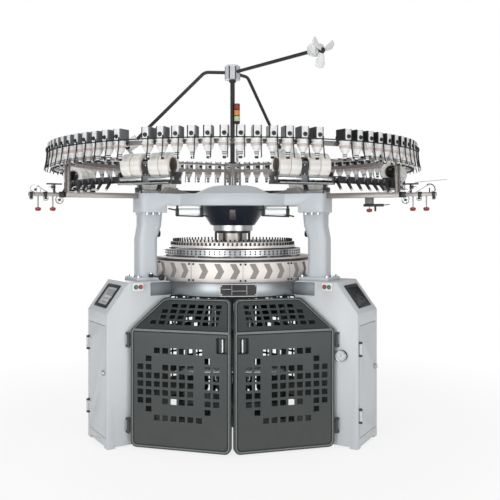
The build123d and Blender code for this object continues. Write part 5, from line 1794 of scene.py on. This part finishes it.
@dataclass
class CrownDetails:
    """Lamps under the crown, sockets on the columns, arm roots and bolts of the crown."""

    lamp_spots: tuple[Pair, ...] = ((-0.262, -0.285), (0.262, -0.285))
    lamp_level: float = 1.355
    lamp_length: float = 0.170
    lamp_radius: float = 0.019
    crown_low: float = 1.393
    crown_top: float = 1.465
    socket_place: Spot = (0.5405, 0.0, 1.222)
    socket: Profile = (
        (0.016, -0.004), (0.016, 0.006), (0.013, 0.010), (0.0125, 0.022), (0.010, 0.026),
        (0.001, 0.027),
    )
    socket_stretch: float = 1.7
    badge: Spot = (0.005, 0.046, 0.074)
    badge_station: float = 0.1905
    badge_level: float = 1.338
    badge_lean: float = 35.0
    badge_taper: Pair = (0.86, 3.4)
    root: Spot = (0.210, 0.074, 0.046)
    root_station: float = 0.415
    root_taper: Spot = (0.050, 0.8, 0.036)
    root_rounding: float = 0.005
    cap: Profile = (
        (0.012, -0.002), (0.012, 0.009), (0.0105, 0.0115), (0.006, 0.0115), (0.0055, 0.006),
        (0.0005, 0.006),
    )
    cap_stations: Pair = (0.560, 0.640)
    cap_offsets: Pair = (-0.062, 0.062)

    def lamp(self) -> Piece:
        """Makes one bar lamp: a pale tube in two black end holders on stems.

        Returns:
            The lamp.
        """
        kit, half, r = Kit(), self.lamp_length / 2, self.lamp_radius
        end = half - 0.020
        tube = ((r * 0.7, -end), (r, -end + 0.003), (r, end - 0.003), (r * 0.7, end))
        kit.turned(Finish.TUBE, tube, 24, turn("Y", 90))
        for side in (-1, 1):
            x, wide = side * (half - 0.010), 2 * r + 0.004
            kit.block(Finish.BLACK, (0.020, wide, wide), (x, 0, 0), 0.003)
            kit.bar(Finish.BLACK, 0.007, (x, 0, r), (x, 0, self.crown_low - self.lamp_level))
        size = (2 * end, 2 * r - 0.004, 0.004)
        kit.block(Finish.GREY, size, (0, 0, r - 0.001), 0.001, 1)
        low = -r - 0.010
        for ends in (
            ((-half - 0.045, 0, 0.020), (half + 0.030, 0, low)),
            ((-half, 0, -r - 0.004), (half, 0, low)),
        ):
            kit.bar(Finish.BLACK, 0.0045, *ends, 10)
        return kit.join()

    def build_badge(self) -> None:
        """The bare badge on the dome, narrower at its top."""
        badge = Kit().block(Finish.ALLOY, self.badge, bevel=0.002)
        for point in badge.data.vertices:
            point.co.y *= self.badge_taper[0] - point.co.z * self.badge_taper[1]
        place = stand(FRONT, self.badge_station, 0.0, self.badge_level)
        settle(placed(badge, place @ turn("Y", self.badge_lean)), "badge", "rail_alloy")

    def build_roots(self) -> None:
        """The short roots of the support arms on the crown, sloping outwards."""
        root = Kit().block(Finish.ALLOY, self.root, (self.root_station, 0, self.crown_top + 0.021))
        shorter, narrower, lower = self.root_taper
        for point in root.data.vertices:
            if point.co.z > self.crown_top + 0.005:
                point.co.y *= narrower
                if point.co.x > self.root_station:
                    point.co.x -= shorter
                else:
                    point.co.z -= lower
        soften(root, self.root_rounding, 3)
        settle(copies(root, [stand(way) for way in LEGS.values()]), "arm_roots", "rail_alloy")

    def build(self) -> None:
        """Builds lamps, sockets, badge, roots and bolts."""
        places = [at(x, y, self.lamp_level) for x, y in self.lamp_spots]
        lamps = copies(self.lamp(), places)
        settle(lamps, "bar_lamps_detailed", "white_plastic", "bar_lamps")
        stretch = Matrix.Scale(self.socket_stretch, 4, (1, 0, 0))
        socket = placed(Kit().turned(Finish.BLACK, self.socket, 18, stretch), turn("Y", -90))
        spots = [stand(way, *self.socket_place) for way in (LEFT, RIGHT)]
        settle(copies(socket, spots), "column_sockets", "black_plastic")
        self.build_badge()
        self.build_roots()
        caps = [
            stand(way, station, offset, self.crown_top)
            for way in LEGS.values()
            for station in self.cap_stations
            for offset in self.cap_offsets
        ]
        cap = Kit().turned(Finish.PLATED, self.cap, 6)
        settle(copies(cap, caps), "crown_cap_screws", "bright_steel")


@dataclass
class ArmEnds:
    """The yarn tension gear at the end of each support arm."""

    arm_end: float = 1.110
    middle: float = 1.450
    reach: float = 0.205
    knob_steps: Profile = (
        (0.008, 0.0), (0.014, 0.003), (0.017, 0.006), (0.0155, 0.009), (0.017, 0.012),
        (0.017, 0.017), (0.011, 0.021), (0.001, 0.0215),
    )
    stem_radius: float = 0.004
    hub: Profile = ((0.004, -0.009), (0.007, -0.007), (0.007, 0.007), (0.004, 0.009))
    spoke_radius: float = 0.0016
    rod_radius: float = 0.0022
    eyelet: Profile = ring(0.003, 0.0065, -0.002, 0.002)
    blocks: tuple[tuple[Spot, float, float, float], ...] = (
        ((0.030, 0.026, 0.034), 0.016, 0.0, 0.003),
        ((0.020, 0.024, 0.030), 0.112, 0.0, 0.003),
        ((0.016, 0.022, 0.028), 0.190, 0.0, 0.003),
        ((0.010, 0.018, 0.045), 0.060, 0.0335, 0.002),
        ((0.086, 0.022, 0.008), 0.060, 0.060, 0.002),
    )
    tension: Spot = (0.166, 0.026, 0.031)
    wheels: tuple[tuple[float, float, float, float, int], ...] = (
        (0.030, -0.030, 0.024, 0.005, 5),
        (0.108, -0.022, 0.016, 0.004, 4),
        (0.190, -0.020, 0.012, 0.003, 4),
        (0.066, 0.042, 0.014, 0.004, 4),
    )
    knobs: tuple[Pair, ...] = ((0.070, 0.007), (0.150, -0.006))
    rods: tuple[tuple[Spot, Spot], ...] = (
        ((0.030, 0.010, 0.064), (0.094, 0.004, 0.040)),
        ((0.090, -0.009, 0.010), (0.160, -0.009, 0.052)),
        ((0.112, 0.009, -0.012), (0.196, 0.009, 0.020)),
        ((0.020, -0.010, -0.010), (0.074, -0.010, 0.036)),
    )
    eyelets: tuple[Pair, ...] = (
        (0.094, 0.040), (0.160, 0.052), (0.196, 0.020), (0.126, -0.040),
    )
    catch_place: Pair = (0.925, 1.435)

    def knob(self, kit: Kit, station: float, side: float, drop: float = 0.0) -> None:
        """Adds a red fluted knob on a plated stem under the bar.

        Args:
            kit: the parts that it joins.
            station: its place along the arm.
            side: its place across the arm.
            drop: how much lower it hangs than on the bracket.
        """
        ends = [(station, side, self.middle - low) for low in (0.011, 0.075)]
        stem = kit.bar(Finish.PLATED, self.stem_radius, *ends, 10)
        knob = kit.turned(Finish.RED, self.knob_steps, 14, at(station, side, self.middle - 0.094))
        for part in (stem, knob):
            placed(part, at(0, 0, -drop))

    def wheel(self, kit: Kit, x: float, z: float, radius: float, rim: float, spokes: int) -> None:
        """Adds a thin-rimmed tension wheel with spokes, turning about Y.

        Args:
            kit: the parts that it joins.
            x: its place along the arm.
            z: its height.
            radius: its radius.
            rim: the thickness of its rim.
            spokes: the number of its spokes.
        """
        half = (
            (radius - rim, rim), (radius - rim * 0.2, rim * 1.2), (radius, rim * 0.5),
            (radius - rim * 0.6, 0.0),
        )
        low = tuple((wide, -level) for wide, level in half)
        parts = [
            kit.turned(Finish.PLATED, (*low, *half[-2::-1], low[0]), 28),
            kit.turned(Finish.BLACK, self.hub, 12),
        ]
        for index in range(spokes):
            way = tau * index / spokes
            tip = Vector((cos(way), sin(way), 0)) * (radius - rim * 0.7)
            parts.append(kit.bar(Finish.PLATED, self.spoke_radius, (0, 0, 0), tip, 6))
        for part in parts:
            placed(part, at(x, 0, z, "X", 90))

    def arc(self, kit: Kit, x: float, z: float, radius: float) -> None:
        """Adds an open tension arc with its upright finger and a long feeler rod.

        Args:
            kit: the parts that it joins.
            x: the place of its middle along the arm.
            z: the height of its middle.
            radius: its radius.
        """
        ways = [radians(-15 + 15 * step) for step in range(10)]
        points = [Vector((x + radius * cos(way), 0, z + radius * sin(way))) for way in ways]
        rod = [(self.arm_end + a, 0, self.middle + b) for a, b in ((0.085, 0.068), (0.262, 0.080))]
        kit.cord(Finish.BLACK, points, 0.0028, False)
        kit.bar(Finish.BLACK, 0.0032, (x, 0, z - radius), (x, 0, z + 0.010), 10)
        kit.bar(Finish.PLATED, 0.002, *rod, 8)

    def catch(self) -> Piece:
        """Makes the small catch that hangs below one arm, along X.

        Returns:
            The catch.
        """
        kit, (x, z) = Kit(), self.catch_place
        kit.block(Finish.GREY, (0.046, 0.030, 0.036), (x, 0, z - 0.018), 0.003)
        kit.block(Finish.BLACK, (0.120, 0.020, 0.016), (x + 0.026, 0, z - 0.044), 0.003)
        kit.bar(Finish.BLACK, 0.0025, (x + 0.08, 0, z - 0.044), (x + 0.122, 0, z - 0.040), 8)
        kit.bar(Finish.BLACK, 0.006, (x + 0.036, 0, z - 0.052), (x + 0.036, 0, z - 0.080), 12)
        self.knob(kit, x, 0.0, 0.006)
        return kit.join()

    def bracket(self, with_arc: bool) -> Piece:
        """Makes one whole bracket along X from the arm end.

        Args:
            with_arc: whether it has an open arc in place of its first wheel.

        Returns:
            The bracket.
        """
        kit, x, z = Kit(), self.arm_end, self.middle
        bar = (self.reach, 0.012, 0.022)
        kit.block(Finish.ALLOY, bar, (x + self.reach / 2, 0, z), 0.002)
        for size, along, up, bevel in self.blocks:
            kit.block(Finish.BLACK, size, (x + along, 0, z + up), bevel)
        along, up, radius = self.tension
        if with_arc:
            self.arc(kit, x + along, z + up, radius)
        else:
            self.wheel(kit, x + along, z + up, radius, 0.0028, 3)
        for along, up, radius, rim, spokes in self.wheels:
            self.wheel(kit, x + along, z + up, radius, rim, spokes)
        for along, side in self.knobs:
            self.knob(kit, x + along, side)
        for rod in self.rods:
            ends = [(x + a, b, z + c) for a, b, c in rod]
            kit.bar(Finish.PLATED, self.rod_radius, *ends, 8)
        for along, up in self.eyelets:
            place = at(x + along, 0.004, z + up, "X", 90)
            kit.turned(Finish.CERAMIC, self.eyelet, 12, place)
        return kit.join()

    def build(self) -> None:
        """Sets a bracket on each arm."""
        kit = Kit()
        for way in LEGS.values():
            kit.add(self.bracket(way == RIGHT), stand(way))
        settle(kit.join(), "arm_end_brackets_detailed", "cam_metal", "arm_end_brackets")
        settle(placed(self.catch(), stand(RIGHT)), "arm_catch", "black_plastic")


@dataclass
class GuideEyes:
    """Ceramic eyelets and clamp blocks of the yarn guide arms."""

    spans: tuple[Pair, ...] = ((181.5, 235.8), (299.6, 332.1), (65.0, 115.0))
    pitch: float = 4.0
    tip_station: float = 1.083
    tip_level: float = 1.464
    eye: Profile = (
        (0.003, -0.005), (0.006, -0.006), (0.006, 0.006), (0.003, 0.005), (0.003, -0.005),
    )
    clamp: Spot = (0.010, 0.018, 0.024)
    clamp_station: float = 1.042
    clamp_level: float = 1.524
    screw: Profile = ((0.005, 0), (0.005, 0.003), (0.003, 0.004), (0.001, 0.004))

    def azimuths(self) -> list[float]:
        """Counts the guide arms, which leave room for the legs.

        Returns:
            The direction of each.
        """
        ways = [
            first + self.pitch / 2 + self.pitch * index
            for first, last in self.spans
            for index in range(int((last - first) / self.pitch))
        ]
        legs = (REAR, LEFT, RIGHT + 360)
        return [way for way in ways if min(abs(way - leg) for leg in legs) > self.pitch / 2]

    def build(self) -> None:
        """Sets eyelets and clamps on every arm."""
        kit, x, z = Kit(), self.clamp_station, self.clamp_level
        kit.turned(Finish.CERAMIC, self.eye, 12, at(self.tip_station, 0, self.tip_level, "X", 90))
        kit.block(Finish.GREY, self.clamp, (x, 0, z), 0.002)
        kit.turned(Finish.PLATED, self.screw, 10, at(x + 0.0045, 0, z + 0.004, "Y", 90))
        eyes = copies(kit.join(), [stand(way) for way in self.azimuths()])
        settle(eyes, "guide_eyes", "white_plastic")


@dataclass
class Mast:
    """Fans, motor cans and the signal lamp above the crown."""

    fans: tuple[tuple[str, float, float, float, float], ...] = (
        ("left", 185.0, 0.640, 1.800, 35.0),
        ("rear", 56.0, 0.640, 1.800, 35.0),
        ("front", -50.0, 0.740, 2.275, 35.0 / 3),
    )
    fan_radius: float = 0.100
    root: float = 0.012
    blade_width: float = 0.058
    blade_wall: float = 0.0028
    twist: Pair = (34.0, 16.0)
    camber: float = 0.0045
    blade_ways: tuple[float, ...] = (0, 120, 240)
    hub_low: float = 0.0353
    hub_high: float = 0.0613
    can: Profile = (
        (0.030, -0.0365), (0.0368, -0.033), (0.0372, -0.010), (0.0380, -0.008),
        (0.0380, 0.004), (0.0372, 0.006), (0.0372, 0.031), (0.034, 0.0357), (0.008, 0.0357),
        (0.0076, 0.030), (0.0076, -0.0365), (0.030, -0.0365),
    )
    lamp_station: float = 0.039
    lamp_azimuth: float = -40.0
    lamp_low: float = 1.942
    pole_low: float = 1.666
    pole_radius: float = 0.0081
    lens: float = 0.038
    lens_radius: float = 0.0185
    lens_ribs: int = 6
    seam: float = 0.005

    def blade(self) -> Piece:
        """Makes one broad fan blade along X, twisted from its root to its tip.

        Returns:
            The blade.
        """
        long = self.fan_radius - self.root
        middle = ((self.fan_radius + self.root) / 2, 0, 0)
        piece = sheet(Finish.WHITE, (long, self.blade_width), middle, (12, 8))
        for point in piece.data.vertices:
            share = (point.co.x - self.root) / long
            spread = 0.42 + 0.75 * share ** 0.7
            edge = max(0.0, 1 - max(0.0, share - 0.72) ** 2 / 0.085)
            across = point.co.y * spread * edge ** 0.5
            twist = radians(self.twist[0] - self.twist[1] * share)
            camber = self.camber * (1 - (point.co.y / (self.blade_width / 2)) ** 2)
            point.co.y = across * cos(twist) - camber * sin(twist)
            point.co.z = across * sin(twist) + camber * cos(twist)
        modify(piece, "SOLIDIFY", thickness=self.blade_wall, offset=0.0)
        soften(piece, 0.0008, 1, 50.0)
        return piece

    def fan(self, name: str, azimuth: float, station: float, level: float, tilt: float) -> None:
        """Builds one fan and its motor can at the end of its arm.

        Args:
            name: the fan's name.
            azimuth: the direction of its arm, in degrees.
            station: how far from the axis it stands.
            level: its height.
            tilt: how far it looks down, in degrees.
        """
        kit, low, high = Kit(), self.hub_low, self.hub_high
        blades = [turn("Z", way) @ at(0, 0, (low + high) / 2) for way in self.blade_ways]
        kit.add(copies(self.blade(), blades))
        hub = (
            (0.014, low), (0.017, low + 0.002), (0.017, high - 0.006), (0.014, high - 0.001),
            (0.008, high + 0.001), (0.001, high + 0.0015),
        )
        kit.turned(Finish.BLACK, hub, 24)
        kit.bar(Finish.PLATED, 0.005, (0, 0, 0.007), (0, 0, low + 0.004), 12)
        place = stand(azimuth, station, 0.0, level) @ turn("Y", 90 + tilt)
        wheel = kit.join(place)
        settle(wheel, f"{name}_fan_wheel", "white_plastic", f"fan_{name}", body=f"{name}_fan")
        can = Kit().turned(Finish.WHITE, self.can, 32, place)
        settle(can, f"{name}_motor_can", "dark_paint", body="fan_carrier")

    def signal(self) -> Piece:
        """Makes the three lenses with their black seams and base, and the pole.

        Returns:
            The signal lamp.
        """
        kit, r, low = Kit(), self.lens_radius, self.lamp_low
        kit.bar(Finish.PLATED, self.pole_radius, (0, 0, self.pole_low), (0, 0, low), 16)
        base = ((0.012, low - 0.018), (r, low - 0.012), (r, low), (r * 0.9, low + 0.001))
        kit.turned(Finish.BLACK, base, 24)
        rib = (self.lens - self.seam) / self.lens_ribs
        for index, finish in enumerate((Finish.LENS_GREEN, Finish.AMBER, Finish.LENS_RED)):
            start = low + index * self.lens
            lens = [(r * 0.9, start)]
            for step in range(self.lens_ribs):
                for wide, share in ((r, 0.25), (r, 0.75), (r * 0.965, 1)):
                    lens.append((wide, start + rib * (step + share)))
            kit.turned(finish, tuple(lens), 28)
            rises = ((0.95, 0.005), (0.99, 0.004), (0.99, 0.001), (0.95, 0))
            kit.turned(Finish.BLACK, scaled(r, start + self.lens, rises), 24)
        return kit.join(stand(self.lamp_azimuth, self.lamp_station))

    def build(self) -> None:
        """Builds the three fans and the signal lamp."""
        for fan in self.fans:
            self.fan(*fan)
        settle(self.signal(), "signal_lamp_detailed", "lamp_plastic", "signal_lamp")


# ---------------------------------------------------------------- the studio


@dataclass
class Studio:
    """A pale floor, soft lights and the camera of the photograph."""

    eye: Spot = (0.0, -4.654, 1.305)
    aim: Spot = (0, 0, 1.25)
    lens: float = 51.55
    sensor: float = 36.0
    shift: Pair = (0.035, -0.060)
    clip_end: float = 200.0
    sky: float = 0.42
    floor_size: float = 60.0
    floor_level: float = -0.0005
    floor_code: str = "#f4f4f4"
    shadow_reach: Pair = (1.2, 3.0)
    shadow_glow: float = 0.82
    lamps: tuple[tuple[str, float, float, Spot], ...] = (
        ("key", 2.4, 100.0, (-2.4, -4.8, 1.0)),
        ("fill", 2.4, 75.0, (2.9, -4.6, 0.9)),
        ("top", 3.0, 60.0, (0.0, -1.0, 5.2)),
        ("back", 3.0, 90.0, (-1.5, 4.8, 1.6)),
    )

    def floor(self) -> None:
        """A wide pale floor that keeps the machine's shadow."""
        pick()
        place = {"size": self.floor_size, "location": (0, 0, self.floor_level)}
        bpy.ops.mesh.primitive_grid_add(x_subdivisions=4, y_subdivisions=4, **place)
        floor = bpy.context.object
        floor.name = "studio_floor"
        s = Surface("studio_floor")
        s.finish(Base_Color=paint_colour(self.floor_code), Roughness=0.9)
        floor.data.materials.append(s.material)
        glow = s.term("ShaderNodeEmission", {}, {"Color": (1, 1, 1, 1), "Strength": 1.0})
        path = s.node("ShaderNodeLightPath", {}, {}).outputs
        seen = s.maths("MAXIMUM", *(Term(s, path[f"Is {ray} Ray"]) for ray in ("Camera", "Glossy")))
        reach = s.between(s.polar()[0], *self.shadow_reach)
        share = seen * (reach * (1 - self.shadow_glow) + self.shadow_glow)
        shaders = {0: share, 1: Term(s, s.shader.outputs[0]), 2: glow}
        mixed = s.term("ShaderNodeMixShader", {}, shaders)
        s.feed(s.tree.nodes["Material Output"], {0: mixed})

    def world(self) -> None:
        """A plain sky that is white to the camera."""
        world = bpy.data.worlds.new("studio")
        bpy.context.scene.world = world
        world.use_nodes = True
        nodes, links = world.node_tree.nodes, world.node_tree.links
        sky, white = nodes["Background"], nodes.new("ShaderNodeBackground")
        for node in (sky, white):
            node.inputs["Color"].default_value = (1, 1, 1, 1)
        sky.inputs["Strength"].default_value = self.sky
        path, mixed = nodes.new("ShaderNodeLightPath"), nodes.new("ShaderNodeMixShader")
        links.new(path.outputs["Is Camera Ray"], mixed.inputs[0])
        links.new(sky.outputs[0], mixed.inputs[1])
        links.new(white.outputs[0], mixed.inputs[2])
        links.new(mixed.outputs[0], nodes["World Output"].inputs[0])

    def lamp(self, name: str, size: float, power: float, spot: Spot) -> None:
        """Adds one soft square lamp aimed at the middle of the machine.

        Args:
            name: its name.
            size: its side.
            power: its power in watts.
            spot: its place.
        """
        light = bpy.data.lights.new(name, "AREA")
        light.size = size
        light.energy = power
        lamp = bpy.data.objects.new(name, light)
        lamp.location = spot
        way = Vector(self.aim) - Vector(spot)
        lamp.rotation_euler = way.to_track_quat("-Z", "Y").to_euler()
        bpy.context.scene.collection.objects.link(lamp)

    def camera(self) -> None:
        """The camera at the photograph's viewing angle."""
        data = bpy.data.cameras.new("camera")
        data.lens = self.lens
        data.sensor_width = self.sensor
        data.shift_x, data.shift_y = self.shift
        data.clip_end = self.clip_end
        camera = bpy.data.objects.new("camera", data)
        camera.location = self.eye
        camera.rotation_euler = (pi / 2, 0, 0)
        bpy.context.scene.collection.objects.link(camera)
        bpy.context.scene.camera = camera

    def build(self) -> None:
        """Sets up the studio."""
        self.floor()
        self.world()
        for lamp in self.lamps:
            self.lamp(*lamp)
        self.camera()
        bpy.context.scene.view_settings.view_transform = "Standard"


ASSEMBLIES = (
    CastAndSheet, FeederRing, ElastaneUnits, KnittingHead, CabinetDetails, LeafDetails,
    OperatorSide, CrownDetails, ArmEnds, GuideEyes, Mast, Studio,
)


def main() -> None:
    """Builds every sub-assembly in order."""
    logging.basicConfig(level=logging.INFO, format="%(message)s")
    for assembly in ASSEMBLIES:
        LOG.info("building %s", assembly.__name__)
        assembly().build()


if __name__ == "__main__":
    main()
